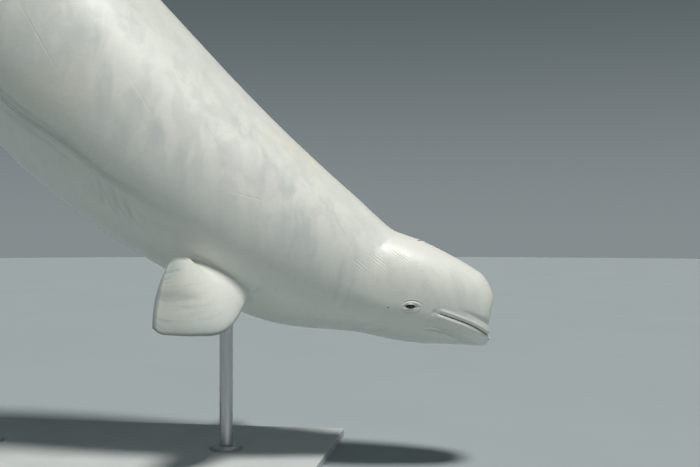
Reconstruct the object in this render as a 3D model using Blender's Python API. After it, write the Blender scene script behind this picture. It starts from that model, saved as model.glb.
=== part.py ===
import math
import bmesh
import bpy
import numpy as np

for old in list(bpy.data.objects):
    bpy.data.objects.remove(old, do_unlink=True)

# Overall sizes, in metres. Distances along the body are measured from the tip of the lower lip along the
# spine line. Heights and widths are measured square to that line.
STOCK_END = 3.97
SNOUT_X = 1.648
SNOUT_Z = 0.441
NODE_GAP = 0.0003
SHARP_ANGLE = math.radians(62.0)
HEAD_PITCH = 26.5
BACK_PITCH = 46.0
TAIL_PITCH = 23.0
NECK_BEND = (0.40, 1.55)
TAIL_BEND = (2.10, 4.10)

# The front of the head is drawn as distances from a point inside it, level with the mouth. Angles are in
# degrees from straight ahead: 90 is the plane that goes across the head through that point.
MUZZLE_DEPTH = 0.140
MOUTH_HEIGHT = 0.006
MELON_FRONT = ((0, 0.1268), (2, 0.1225), (9.3, 0.1160), (19.5, 0.1178), (32.6, 0.1254), (42.5, 0.1357),
               (52.5, 0.1485), (61.6, 0.1581), (70.5, 0.1658), (81.4, 0.1757), (86, 0.1789), (90, 0.1805))
CHIN_FRONT = ((0, 0.1268), (2, 0.1362), (4.3, 0.1392), (10.8, 0.1402), (19, 0.1345), (26, 0.1222),
              (44.5, 0.0999), (60, 0.0925), (70, 0.0918), (82, 0.0953), (90, 0.1005))
MUZZLE_SIDE = ((0, 0.1268), (3, 0.1290), (15, 0.1318), (30, 0.1310), (45, 0.1275), (60, 0.1250), (75, 0.1258),
               (83.3, 0.1287), (87, 0.1304), (90, 0.1325))

# Behind that plane: height of the back, depth of the belly, half width and level of the widest line.
BACK_HEIGHT = ((0.140, 0.1865), (0.155, 0.188), (0.196, 0.192), (0.24, 0.194), (0.32, 0.195), (0.385, 0.191),
               (0.432, 0.185), (0.466, 0.182), (0.490, 0.186), (0.522, 0.194), (0.576, 0.208), (0.648, 0.226),
               (0.72, 0.240), (0.864, 0.264), (1.01, 0.282), (1.19, 0.297), (1.40, 0.306), (1.62, 0.311),
               (1.83, 0.315), (2.05, 0.312), (2.30, 0.297), (2.60, 0.262), (2.90, 0.210), (3.20, 0.155),
               (3.45, 0.112), (3.62, 0.083), (3.75, 0.056), (3.85, 0.034), (3.92, 0.018), (3.97, 0.004))
BELLY_DEPTH = ((0.140, 0.0945), (0.162, 0.104), (0.187, 0.117), (0.227, 0.133), (0.27, 0.149), (0.324, 0.165),
               (0.385, 0.181), (0.432, 0.196), (0.468, 0.211), (0.522, 0.235), (0.576, 0.260), (0.648, 0.291),
               (0.72, 0.314), (0.792, 0.330), (0.864, 0.339), (0.936, 0.346), (1.01, 0.355), (1.19, 0.391),
               (1.40, 0.433), (1.62, 0.463), (1.83, 0.471), (2.05, 0.462), (2.30, 0.427), (2.60, 0.357),
               (2.90, 0.272), (3.20, 0.188), (3.45, 0.130), (3.62, 0.092), (3.75, 0.060), (3.85, 0.035),
               (3.92, 0.018), (3.97, 0.004))
HALF_WIDTH = ((0.140, 0.1325), (0.17, 0.1425), (0.21, 0.1535), (0.25, 0.163), (0.305, 0.175), (0.36, 0.184),
              (0.42, 0.190), (0.47, 0.195), (0.52, 0.204), (0.60, 0.229), (0.70, 0.262), (0.80, 0.290),
              (0.95, 0.320), (1.10, 0.341), (1.30, 0.361), (1.55, 0.375), (1.80, 0.378), (2.05, 0.368),
              (2.35, 0.334), (2.65, 0.279), (2.95, 0.212), (3.20, 0.156), (3.42, 0.111), (3.60, 0.079),
              (3.75, 0.048), (3.85, 0.028), (3.92, 0.014), (3.97, 0.004))
WIDEST_LINE = ((0.140, 0.006), (0.17, 0.0055), (0.20, 0.003), (0.24, -0.004), (0.286, -0.012), (0.34, -0.021),
               (0.40, -0.028), (0.47, -0.034), (0.60, -0.042), (0.80, -0.050), (1.00, -0.058), (1.30, -0.072),
               (1.60, -0.080), (2.00, -0.078), (2.40, -0.060), (2.80, -0.036), (3.20, -0.016), (3.60, -0.004),
               (3.80, -0.001), (3.97, 0.0))
BACK_ROUND = ((0.0, 2.0), (0.03, 2.02), (0.10, 2.2), (0.30, 2.35), (0.50, 2.15), (1.0, 2.0), (2.0, 1.95),
              (3.0, 1.80), (3.6, 1.75), (3.97, 2.0))
BELLY_ROUND = ((0.0, 2.0), (0.03, 2.02), (0.10, 2.15), (0.30, 2.2), (0.6, 2.1), (1.2, 2.1), (2.0, 2.1),
               (3.0, 1.85), (3.6, 1.75), (3.97, 2.0))

# Where one node ends and the next begins
NAPE_CUT = 0.466
NECK_CUT = 0.640
CHEST_CUT = 1.300
TORSO_CUT = 2.520

# Mouth, lips and jaw. The mouth line is given by its height at distances back from the lips.
MOUTH_LINE = ((0.0, 0.006), (0.02, 0.010), (0.045, 0.0155), (0.09, 0.0178), (0.14, 0.0142), (0.17, 0.0112),
              (0.20, 0.0065), (0.24, -0.004))
MOUTH_LINE_SPREAD = 0.055
MOUTH_CORNER = (0.178, 0.203)
MOUTH_GROOVE = (0.0055, 0.0022)
UPPER_LIP = (0.0030, 0.011, 0.006)
LOWER_LIP = (0.0042, 0.011, 0.007)
BEAK_CREASE = (0.0035, 0.036, 0.010)
MOUTH_LINE_END = (0.20, 0.24)
BEAK_CREASE_END = (0.05, 0.15)
JAW_EDGE_ANGLE = ((0.03, 146.0), (0.05, 139.0), (0.066, 133.0), (0.085, 127.0), (0.113, 119.0),
                  (0.137, 114.5), (0.165, 114.0), (0.24, 114.0))
JAW_EDGE_SPAN = (0.035, 0.060, 0.185, 0.222)
JAW_EDGE_GROOVE = (0.0036, 0.0055)
JAW_EDGE_ROLL = (0.0030, 0.0110, 0.0070)
MOUTH_DIMPLE = (0.0022, 0.208, 0.006, 0.009)

# Eye, ear and blowhole
EYE_AT = 0.286
EYE_TILT = 14.0
EYE_RADIUS = 0.0150
EYE_DEPTH = 0.0125
EYE_SLIT = (0.0140, 0.0068)
SOCKET_RADIUS = 0.0176
SOCKET_STEPS = ((0.12, 85.0), (0.55, 85.0), (1.0, 85.0), (1.0, 115.0), (1.0, 145.0))
LID_GAP = 0.0006
EYE_RINGS = (18, 36, 54, 72, 90, 110, 130, 152)
EYE_SIDES = 18
EAR_AT = 0.350
EAR_RADIUS = 0.0016
BLOWHOLE_AT = 0.362
BLOWHOLE_HALF_WIDTH = 0.046
BLOWHOLE_CURVE = 4.0

# Loops of the folds round an eye, from the outer crease in: half length, half width, shift along the head,
# then the height over the eye, under it, before it and behind it. The lips of the lids follow, as shares of
# the slit and distances off the eyeball.
EYE_FOLDS = ((0.0350, 0.0216, -0.0046, -0.0013, -0.0010, -0.0002, 0.0002),
             (0.0290, 0.0168, -0.0040, 0.0030, 0.0030, 0.0018, 0.0020),
             (0.0222, 0.0124, -0.0008, 0.0014, 0.0018, 0.0004, 0.0002),
             (0.0198, 0.0106, 0.0000, 0.0034, 0.0027, -0.0010, -0.0010))
LID_LIPS = ((1.22, 0.0030), (1.08, 0.0020), (1.0, 0.0))

# Loops of the ear hole, as multiples of its radius with their height, and of the blowhole: half length, share
# of the half width, height and share of the curve
EAR_LOOPS = ((3.0, 0.0), (1.75, 0.0005), (1.0, -0.0008), (0.7, -0.005))
EAR_FLOOR = 0.0055
BLOWHOLE_LOOPS = ((0.0190, 1.30, 0.0002, 0.3), (0.0115, 1.16, 0.0014, 0.7), (0.0055, 1.06, 0.0012, 1.0),
                  (0.0024, 1.0, -0.0020, 1.0), (0.0015, 0.95, -0.0120, 1.0))
BLOWHOLE_FLOOR = 0.0130

# Ridge along the middle of the back, and the fold of fat along each side of the belly
RIDGE_HEIGHT = 0.015
RIDGE_SPREAD = 0.018
RIDGE_SPAN = (1.70, 2.00, 2.20, 2.50)
RIDGE_NOTCH = 0.048
RIDGE_DIP = 0.15
FLANK_SWELL = (0.008, 128.0, 0.20)
FLANK_SPAN = (0.95, 1.35, 1.90, 2.50)

# Flippers: the right one's front and rear edges, from root to tip, as positions from the middle of its root
FLIPPER_SEAT = (0.868, 129.0, 0.103, 0.050, -2.0)
FLIPPER_RINGS = (0.735, 0.775, 0.812, 0.849, 0.887, 0.924, 0.961, 1.001)
FLIPPER_ANGLES = (113.0, 120.0, 126.0, 132.0, 138.0, 146.0)
FLIPPER_LEAD = ((0.0, 0.082, 0.013, -0.081), (0.15, 0.076, -0.050, -0.121), (0.30, 0.062, -0.098, -0.155),
                (0.42, 0.042, -0.138, -0.170), (0.60, -0.011, -0.203, -0.170), (0.80, -0.066, -0.275, -0.161),
                (0.92, -0.098, -0.328, -0.150), (1.0, -0.112, -0.352, -0.131))
FLIPPER_TRAIL = ((0.0, -0.076, 0.000, 0.066), (0.15, -0.073, -0.055, 0.070), (0.30, -0.071, -0.110, 0.073),
                 (0.42, -0.068, -0.155, 0.075), (0.60, -0.066, -0.215, 0.077), (0.80, -0.068, -0.268, 0.076),
                 (0.92, -0.073, -0.296, 0.070), (1.0, -0.079, -0.308, 0.058))
FLIPPER_THICK = ((0.0, 0.092), (0.15, 0.068), (0.30, 0.054), (0.42, 0.045), (0.6, 0.033), (0.8, 0.023),
                 (0.92, 0.015), (1.0, 0.009))
FLIPPER_NOSE = 0.30
FLIPPER_TIP_BULGE = 0.016
FLIPPER_CURL = 0.012
FLIPPER_CURL_SPAN = (0.5, 1.1)
FLIPPER_SECTIONS = (0.0, 0.08, 0.16, 0.24, 0.32, 0.40, 0.48, 0.57, 0.66, 0.75, 0.83, 0.90, 0.95, 0.985, 1.0)
FLIPPER_BLEND = 4
FLIPPER_STEP = 0.04

# Flukes: distances along the body of the front and rear edges, from root to tip
FLUKE_SEAT = (3.811, 90.0, 0.107, 0.017, 0.0)
FLUKE_RINGS = (3.670, 3.708, 3.750, 3.792, 3.836, 3.880, 3.922, 3.952)
FLUKE_ANGLES = (43.0, 64.0, 82.0, 98.0, 116.0, 137.0)
FLUKE_HALF_SPAN = 0.480
FLUKE_LEAD = ((0, 3.690), (0.2, 3.735), (0.4, 3.795), (0.6, 3.863), (0.8, 3.944), (0.93, 4.008), (1, 4.056))
FLUKE_TRAIL = ((0, 3.965), (0.08, 4.030), (0.2, 4.086), (0.35, 4.112), (0.6, 4.121), (0.8, 4.113),
               (0.93, 4.096), (1, 4.079))
FLUKE_THICK = ((0, 0.050), (0.2, 0.038), (0.4, 0.030), (0.6, 0.022), (0.8, 0.015), (0.93, 0.010), (1, 0.006))
FLUKE_NOSE = 0.32
FLUKE_RISE = 0.030
FLUKE_SWEEP = (0.5, 2.2)
FLUKE_SECTIONS = (0.0, 0.08, 0.16, 0.25, 0.35, 0.46, 0.57, 0.68, 0.78, 0.87, 0.94, 0.98, 1.0)
FLUKE_BLEND = 3

# How a fin leaves its seat: sizes of the loops on the seat, which of them the fin grows from, and how far its
# first stretch keeps the way in which it leaves
SEAT_GROWTH = (1.28, 1.13, 1.0, 0.68, 0.34)
SEAT_EDGE = 2
ROOT_PULL = 0.9

# Stand
BASE_SIZE = (1.60, 0.84, 0.030)
BASE_CENTRE_X = 0.278
BASE_EDGE = 0.004
ROD_RADIUS = 0.024
ROD_FRONT_X = 0.713
ROD_REAR_X = -0.197
ROD_TOP_RINGS = (0.008, 0.016, ROD_RADIUS)
ROD_SIDES = 24
COLLAR_RADIUS = 0.060
COLLAR_HEIGHT = 0.016
COLLAR_EDGE = (0.94, 0.7)
COLLAR_SIDES = 32

# Columns of the head, the trunk and the tail, in degrees round the right side, and rings along the body
HEAD_HALF = (0, 5, 10, 17, 26, 35, 44, 53, 62, 70, 77, 82.4, 85.6, 87.9, 89.1, 90,
             90.9, 92.1, 94.4, 97.6, 103, 108, 111.5, 114, 116.5, 120, 124, 128, 132, 138, 146, 153,
             159, 169.5, 180)
TRUNK_HALF = (0, 4, 9, 16, 25, 34, 43, 52, 61, 70, 80, 90, 98, 106, 113, 120, 126, 132, 138, 146, 154, 163,
              171.5, 180)
TAIL_HALF = (0, 8, 18, 30, 43, 64, 82, 98, 116, 137, 150, 162, 172, 180)
MUZZLE_ANGLES = (1.0, 2.6, 5, 8, 12, 17, 23, 30, 38, 47, 57, 67, 78.5, 90)
HEAD_RINGS = (0.154, 0.167, 0.179, 0.188, 0.195, 0.201, 0.208, 0.216, 0.228, 0.242, 0.256, 0.271, 0.286,
              0.301, 0.316, 0.330, 0.340, 0.350, 0.360, 0.373, 0.390, 0.410, 0.430, 0.448)
NECK_RINGS = (0.478, 0.492, 0.510, 0.532, 0.556, 0.583, 0.612)
CHEST_RINGS = (0.668, 0.700) + FLIPPER_RINGS + (1.05, 1.10, 1.16, 1.23)
TORSO_RINGS = tuple(np.linspace(1.37, 2.45, 19))
TAIL_RINGS = tuple(np.linspace(2.60, 3.50, 11)) + (3.57, 3.63) + FLUKE_RINGS + (3.961,)
EYE_SPAN = (0.242, 0.330, 77, 103)
EAR_COLUMN = 97.6
BLOWHOLE_SPAN = (0.330, 0.390, 26)

# Surfaces
SKIN_ROUGH = 0.45
EYE_ROUGH = 0.08
BASE_ROUGH = 0.5
ROD_ROUGH = 0.3
SKIN_COLOUR = (0.74, 0.76, 0.74, 1.0)
FIN_COLOUR = (0.70, 0.72, 0.70, 1.0)
EYE_COLOUR = (0.03, 0.025, 0.022, 1.0)
BASE_COLOUR = (0.62, 0.62, 0.60, 1.0)
ROD_COLOUR = (0.55, 0.56, 0.57, 1.0)


def through(stations, at):
    """Smooth curve through a short list of stations."""
    xs = np.array([p[0] for p in stations], float)
    ys = np.array([p[1] for p in stations], float)
    gap = np.diff(xs)
    rise = np.diff(ys) / gap
    slope = np.empty_like(ys)
    slope[1:-1] = (rise[:-1] * gap[1:] + rise[1:] * gap[:-1]) / (gap[1:] + gap[:-1])
    slope[0] = rise[0]
    slope[-1] = rise[-1]
    at = np.clip(np.asarray(at, float), xs[0], xs[-1])
    k = np.clip(np.searchsorted(xs, at, side="right") - 1, 0, len(xs) - 2)
    t = (at - xs[k]) / gap[k]
    a = ys[k] * (1 + 2 * t) * (1 - t) ** 2 + slope[k] * gap[k] * t * (1 - t) ** 2
    b = ys[k + 1] * t * t * (3 - 2 * t) - slope[k + 1] * gap[k] * t * t * (1 - t)
    return a + b


def step(at, low, high):
    t = np.clip((np.asarray(at, float) - low) / (high - low), 0.0, 1.0)
    return t * t * (3 - 2 * t)


def bell(at):
    return np.exp(-np.asarray(at, float) ** 2)


def rise_and_fall(at, span):
    return step(at, span[0], span[1]) * (1 - step(at, span[2], span[3]))


def pitch(s):
    bend = (BACK_PITCH - HEAD_PITCH) * step(s, *NECK_BEND)
    return np.radians(HEAD_PITCH + bend - (BACK_PITCH - TAIL_PITCH) * step(s, *TAIL_BEND))


SPINE_S = np.linspace(0.0, 4.3, 4301)
SPINE_STEP = SPINE_S[1] - SPINE_S[0]
SPINE_P = pitch(SPINE_S[:-1] + SPINE_STEP / 2)
SPINE_X = SNOUT_X - np.concatenate(([0.0], np.cumsum(np.cos(SPINE_P)))) * SPINE_STEP
SPINE_Z = SNOUT_Z + np.concatenate(([0.0], np.cumsum(np.sin(SPINE_P)))) * SPINE_STEP


def place(s, along, up, out):
    """Point at a distance s down the spine, moved along it, up from it and out to the right."""
    p = pitch(s)
    x = np.interp(s, SPINE_S, SPINE_X) - along * np.cos(p) + up * np.sin(p)
    z = np.interp(s, SPINE_S, SPINE_Z) + along * np.sin(p) + up * np.cos(p)
    return np.stack(np.broadcast_arrays(x, -np.asarray(out, float), z), axis=-1)


def oval(phi, up, down, side, round_up, round_down):
    c = np.cos(phi)
    n = np.where(c > 0, round_up, round_down)
    tall = np.where(c > 0, up, down)
    return (np.abs(c / tall) ** n + np.abs(np.sin(phi) / side) ** n) ** (-1 / n)


def relief(s, phi, x, up, radius):
    """Height of the skin's own forms above the plain body, from where a point is."""
    low = np.abs(phi) > math.pi / 2
    seam = up - widest(x)
    mouth = 1 - step(x, *MOUTH_CORNER)
    deep, dimple_at, dimple_long, dimple_tall = MOUTH_DIMPLE
    h = -mouth * MOUTH_GROOVE[0] * bell(seam / MOUTH_GROOVE[1])
    h = h + mouth * UPPER_LIP[0] * bell((seam - UPPER_LIP[1]) / UPPER_LIP[2])
    h = h + mouth * LOWER_LIP[0] * bell((seam + LOWER_LIP[1]) / LOWER_LIP[2])
    h = h - deep * bell((x - dimple_at) / dimple_long) * bell(seam / dimple_tall)
    h = h - BEAK_CREASE[0] * bell((seam - BEAK_CREASE[1]) / BEAK_CREASE[2]) * (1 - step(x, *BEAK_CREASE_END))
    edge = (np.radians(through(JAW_EDGE_ANGLE, s)) - np.abs(phi)) * radius
    jaw = rise_and_fall(s, JAW_EDGE_SPAN) * low
    h = h - jaw * JAW_EDGE_GROOVE[0] * bell(edge / JAW_EDGE_GROOVE[1])
    h = h + jaw * JAW_EDGE_ROLL[0] * bell((edge - JAW_EDGE_ROLL[1]) / JAW_EDGE_ROLL[2])
    notch = 1 - RIDGE_DIP + RIDGE_DIP * np.cos(2 * math.pi * s / RIDGE_NOTCH)
    h = h + RIDGE_HEIGHT * rise_and_fall(s, RIDGE_SPAN) * notch * bell(phi * radius / RIDGE_SPREAD)
    swell, swell_angle, swell_width = FLANK_SWELL
    flank = rise_and_fall(s, FLANK_SPAN) * bell((np.abs(phi) - math.radians(swell_angle)) / swell_width)
    return h + swell * flank


def widest(x):
    return np.where(x < MUZZLE_DEPTH, MOUTH_HEIGHT, through(WIDEST_LINE, x))


def mouth_shift(x, seam):
    """How far the skin by the mouth slides up so that the mouth line has its curve."""
    shift = (through(MOUTH_LINE, x) - widest(x)) * bell(seam / MOUTH_LINE_SPREAD)
    return shift * (1 - step(x, *MOUTH_LINE_END))


def skin(s, phi):
    """Point of the skin at a distance along the body and an angle round it, 0 at the back, positive right."""
    s, phi = np.broadcast_arrays(np.asarray(s, float), np.asarray(phi, float))
    ahead = s < MUZZLE_DEPTH
    alpha = np.degrees(np.minimum(s / MUZZLE_DEPTH, 1.0) * math.pi / 2)
    level = np.where(ahead, MOUTH_HEIGHT, through(WIDEST_LINE, s))
    up = np.where(ahead, through(MELON_FRONT, alpha), through(BACK_HEIGHT, s) - level)
    down = np.where(ahead, through(CHIN_FRONT, alpha), through(BELLY_DEPTH, s) + level)
    side = np.where(ahead, through(MUZZLE_SIDE, alpha), through(HALF_WIDTH, s))
    r = oval(phi, up, down, side, through(BACK_ROUND, s), through(BELLY_ROUND, s))
    wide = np.where(ahead, np.sin(np.radians(alpha)), 1.0)
    deep = np.where(ahead, np.cos(np.radians(alpha)), 0.0)
    x = np.where(ahead, MUZZLE_DEPTH - r * deep, s)
    high = level + r * wide * np.cos(phi)
    slide = mouth_shift(x, high - level)
    r = r + relief(s, phi, x, high, r * wide)
    along = np.where(ahead, MUZZLE_DEPTH - r * deep, 0.0)
    base = np.where(ahead, 0.0, s)
    return place(base, along, level + slide + r * wide * np.cos(phi), r * wide * np.sin(phi))


def facing(s, phi):
    """Unit normal of the skin, pointing out of the body."""
    d = 0.0006
    a = skin(s + d, phi) - skin(s - d, phi)
    b = skin(s, phi + d * 4) - skin(s, phi - d * 4)
    n = np.cross(a, b)
    n = n / np.linalg.norm(n, axis=-1, keepdims=True)
    away = skin(s, phi) - place(s, 0.0, 0.0, 0.0)
    return n * np.sign((n * away).sum(axis=-1, keepdims=True))


class Shell:
    """A closed surface put together from rings of points."""

    def __init__(self):
        self.points = []
        self.faces = []

    def add(self, pts):
        start = len(self.points)
        self.points.extend([tuple(map(float, p)) for p in np.reshape(pts, (-1, 3))])
        return list(range(start, len(self.points)))

    def band(self, first, second, flips=None):
        """Triangles between two closed loops that have as many points."""
        n = len(first)
        for k in range(n):
            a, b, c, d = first[k], first[(k + 1) % n], second[(k + 1) % n], second[k]
            if flips is not None and flips[k]:
                self.faces += [(a, b, d), (b, c, d)]
            else:
                self.faces += [(a, b, c), (a, c, d)]

    def fan(self, loop, centre):
        mid = self.add([centre])[0]
        for k in range(len(loop)):
            self.faces.append((loop[k], loop[(k + 1) % len(loop)], mid))

    def ladder(self, loop):
        """Closes a loop whose upper and lower halves face each other."""
        n = len(loop)
        for k in range(n // 2):
            a, b, c, d = loop[k], loop[k + 1], loop[(n - k - 1) % n], loop[(n - k) % n]
            if a != d:
                self.faces.append((a, b, d))
            if b != c:
                self.faces.append((b, c, d))

    def finish(self, name, colour, rough, metal=0.0):
        mesh = bpy.data.meshes.new(name)
        mesh.from_pydata(self.points, [], self.faces)
        work = bmesh.new()
        work.from_mesh(mesh)
        bmesh.ops.recalc_face_normals(work, faces=work.faces)
        for face in work.faces:
            face.smooth = True
        for edge in work.edges:
            edge.smooth = edge.calc_face_angle(0.0) < SHARP_ANGLE
        work.to_mesh(mesh)
        work.free()
        body = bpy.data.objects.new(name, mesh)
        bpy.context.collection.objects.link(body)
        dress(body, colour, rough, metal)
        return body


def around(half):
    """All columns of a ring from those of one side, given in degrees from the back."""
    right = np.radians(half)
    return np.concatenate((right, -right[-2:0:-1]))


def tube(shell, rings, half, holes=()):
    """Grid of skin over rings and columns, with openings left where holes say."""
    cols = around(half)
    n = len(cols)
    rows = [shell.add(skin(np.full(n, s), cols)) for s in rings]
    for i in range(len(rings) - 1):
        for j in range(n):
            if any(h[0] <= i < h[1] and (j - h[2]) % n < h[3] for h in holes):
                continue
            k = (j + 1) % n
            a, b, c, d = rows[i][j], rows[i][k], rows[i + 1][k], rows[i + 1][j]
            if j < len(half) - 1:
                shell.faces += [(a, b, c), (a, c, d)]
            else:
                shell.faces += [(a, b, d), (b, c, d)]
    return rows, cols


def rim(hole, n):
    """Corners round an opening, as ring and column numbers, starting at the rear and the lesser angle."""
    i0, i1, j0, wide = hole
    j1 = j0 + wide
    loop = [(i1, j) for j in range(j0, j1)]
    loop += [(i, j1) for i in range(i1, i0, -1)]
    loop += [(i0, j) for j in range(j1, j0, -1)]
    loop += [(i, j0) for i in range(i0, i1)]
    return [(i, j % n) for i, j in loop]


def turns_round(rings, cols, hole, spot):
    """Turn about a spot of each corner round an opening: 0 towards the tail, rising with the column angle."""
    s0, phi0 = spot
    scale = girth_scale(spot)
    here = np.array([(rings[i] - s0, math.remainder(cols[j] - phi0, 2 * math.pi) * scale)
                     for i, j in rim(hole, len(cols))])
    size = np.abs(here).max(axis=0)
    return np.arctan2(here[:, 1] / size[1], here[:, 0] / size[0])


def girth_scale(spot):
    s0, phi0 = spot
    return np.linalg.norm(skin(s0, phi0 + 0.01) - skin(s0, phi0 - 0.01)) / 0.02


def inset(shell, rows, cols, rings, hole, spot, shapes):
    """Fills an opening with loops that shrink onto a spot. Each shape gives a loop's points."""
    turn = turns_round(rings, cols, hole, spot)
    last = [rows[i][j] for i, j in rim(hole, len(cols))]
    for shape in shapes:
        loop = shell.add(shape(turn))
        shell.band(last, loop)
        last = loop
    return last


def on_skin(spot, length, width, lift, bend=0.0, tilt=0.0):
    """Oval loop on the skin round a spot, bent along the body, and raised by a number or by the turn."""
    s0, phi0 = spot
    scale = girth_scale(spot)

    def shape(turn):
        along = length * np.cos(turn)
        b = width * np.sin(turn)
        s = s0 + along * math.cos(tilt) - b * math.sin(tilt) + bend * b * b
        phi = phi0 + (along * math.sin(tilt) + b * math.cos(tilt)) / scale
        h = lift(turn) if callable(lift) else np.full(len(turn), lift)
        return skin(s, phi) + facing(s, phi) * h[:, None]
    return shape


def cap(shell, row, s):
    shell.fan(row, place(s, 0.0, through(WIDEST_LINE, s), 0.0))


def eye_shapes(side):
    """Loops from the cheek in over the folds and the lids to their edges, which rest just off the eyeball."""
    centre, axis, back, up = eye_frame(side)
    tilt = side * math.radians(EYE_TILT)

    def on_ball(grow, away):
        def shape(turn):
            long = EYE_SLIT[0] * grow * np.cos(turn)
            tall = EYE_SLIT[1] * grow * np.sin(turn)
            a = long * math.cos(tilt) - tall * math.sin(tilt)
            b = long * math.sin(tilt) + tall * math.cos(tilt)
            reach = EYE_RADIUS + LID_GAP + away
            h = np.sqrt(np.maximum(reach ** 2 - a * a - b * b, 0.0))
            return centre + np.outer(a, back) - np.outer(side * b, up) + np.outer(h, axis)
        return shape

    def fold(length, width, shift, over, under, before, behind):
        def height(turn):
            low = side * np.sin(turn)
            ahead = -np.cos(turn)
            h = over * np.maximum(-low, 0) ** 2 + under * np.maximum(low, 0) ** 2
            return h + before * np.maximum(ahead, 0) ** 2 + behind * np.maximum(-ahead, 0) ** 2
        return on_skin((EYE_AT + shift, side * math.pi / 2), length, width, height, tilt=tilt)

    return [fold(*sizes) for sizes in EYE_FOLDS] + [on_ball(*sizes) for sizes in LID_LIPS]


def socket(shell, loop, side):
    """Pocket behind the lids, wide enough for the eyeball to sit in."""
    centre, axis, back, up = eye_frame(side)
    rim_pts = np.array([shell.points[k] for k in loop]) - centre
    turn = np.arctan2(rim_pts @ up, rim_pts @ back)
    tilt = np.arccos(np.clip(rim_pts @ axis / np.linalg.norm(rim_pts, axis=1), -1, 1))
    ways = np.outer(np.cos(turn), back) + np.outer(np.sin(turn), up)
    last = loop
    for share, polar in SOCKET_STEPS:
        a = tilt + (math.radians(polar) - tilt) * share
        made = shell.add(centre + SOCKET_RADIUS * (np.outer(np.cos(a), axis) + np.sin(a)[:, None] * ways))
        shell.band(last, made)
        last = made
    shell.fan(last, centre - SOCKET_RADIUS * axis)


def eye_frame(side):
    """Centre of the eyeball, and the ways it looks, back along the head and up."""
    phi = side * math.pi / 2
    axis = facing(EYE_AT, phi)
    centre = skin(EYE_AT, phi) - EYE_DEPTH * axis
    back = skin(EYE_AT + 0.001, phi) - skin(EYE_AT - 0.001, phi)
    back = back / np.linalg.norm(back)
    up = np.cross(back, axis) * side
    up = up / np.linalg.norm(up)
    return centre, axis, back, up


def make_head():
    shell = Shell()
    polar = [MUZZLE_DEPTH * a / 90 for a in MUZZLE_ANGLES]
    rings = polar + list(HEAD_RINGS) + [NAPE_CUT - NODE_GAP / 2]
    cols = around(HEAD_HALF)
    n = len(cols)

    def near(s):
        return int(np.argmin(np.abs(np.array(rings) - s)))

    def col(deg):
        return int(np.argmin(np.abs(np.array(HEAD_HALF) - deg)))

    first, last, above, below = EYE_SPAN
    tall = col(below) - col(above)
    eye_right = (near(first), near(last), col(above), tall)
    eye_left = (near(first), near(last), n - col(below), tall)
    first, last, wide = BLOWHOLE_SPAN
    blow = (near(first), near(last), n - col(wide), 2 * col(wide))
    ear_row = near(EAR_AT)
    ear_right = (ear_row - 1, ear_row + 1, col(EAR_COLUMN) - 1, 2)
    ear_left = (ear_row - 1, ear_row + 1, n - col(EAR_COLUMN) - 1, 2)
    holes = (eye_right, eye_left, ear_right, ear_left, blow)
    rows, cols = tube(shell, rings, HEAD_HALF, holes)
    shell.fan(rows[0], skin(0.0, 0.0))
    for hole, side in ((eye_right, 1), (eye_left, -1)):
        last = inset(shell, rows, cols, rings, hole, (EYE_AT, side * math.pi / 2), eye_shapes(side))
        socket(shell, last, side)
    for hole, side in ((ear_right, 1), (ear_left, -1)):
        spot = (rings[ear_row], side * math.radians(EAR_COLUMN))
        shapes = [on_skin(spot, EAR_RADIUS * g, EAR_RADIUS * g, lift) for g, lift in EAR_LOOPS]
        last = inset(shell, rows, cols, rings, hole, spot, shapes)
        shell.fan(last, skin(*spot) - facing(*spot) * EAR_FLOOR)
    spot = (BLOWHOLE_AT, 0.0)
    shapes = [on_skin(spot, length, BLOWHOLE_HALF_WIDTH * g, lift, BLOWHOLE_CURVE * curve)
              for length, g, lift, curve in BLOWHOLE_LOOPS]
    last = inset(shell, rows, cols, rings, blow, spot, shapes)
    shell.fan(last, skin(*spot) - facing(*spot) * BLOWHOLE_FLOOR)
    cap(shell, rows[-1], rings[-1])
    return shell.finish("head", SKIN_COLOUR, SKIN_ROUGH)


def make_eye(name, side):
    shell = Shell()
    centre, axis, back, up = eye_frame(side)
    last = None
    around_eye = np.linspace(0, 2 * math.pi, EYE_SIDES, endpoint=False)
    for polar in EYE_RINGS:
        a = math.radians(polar)
        ways = np.outer(np.cos(around_eye), back) + np.outer(np.sin(around_eye), up)
        pts = centre + EYE_RADIUS * (math.cos(a) * axis + math.sin(a) * ways)
        loop = shell.add(pts)
        if last is None:
            shell.fan(loop, centre + EYE_RADIUS * axis)
        else:
            shell.band(last, loop)
        last = loop
    shell.fan(last, centre - EYE_RADIUS * axis)
    return shell.finish(name, EYE_COLOUR, EYE_ROUGH)


def make_tube(name, cuts, inner_rings, half, seat=None, seat_rings=None, seat_angles=None):
    """A length of the body between two cuts, or from one to the end of the tail, with seats for its fins."""
    shell = Shell()
    rings = [cuts[0] + NODE_GAP / 2] + list(inner_rings)
    if cuts[1] < STOCK_END:
        rings.append(cuts[1] - NODE_GAP / 2)
    holes = []
    if seat:
        first = int(np.argmin(np.abs(np.array(rings) - seat_rings[0])))
        col = list(half).index(seat_angles[0])
        wide = len(seat_angles) - 1
        n = 2 * (len(half) - 1)
        deep = first + len(seat_rings) - 1
        holes = [(first, deep, col, wide), (first, deep, n - col - wide, wide)]
    rows, cols = tube(shell, rings, half, holes)
    for hole, side in zip(holes, (1, -1)):
        spot = (seat[0], side * math.radians(seat[1]))
        tilt = side * math.radians(seat[4])
        shapes = [on_skin(spot, seat[2] * g, seat[3] * g, 0.0, tilt=tilt) for g in SEAT_GROWTH]
        last = inset(shell, rows, cols, rings, hole, spot, shapes)
        shell.fan(last, skin(*spot))
    cap(shell, rows[0], rings[0])
    if cuts[1] < STOCK_END:
        cap(shell, rows[-1], rings[-1])
    else:
        shell.fan(rows[-1], place(STOCK_END - NODE_GAP, 0.0, 0.0, 0.0))
    return shell.finish(name, SKIN_COLOUR, SKIN_ROUGH)


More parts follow.
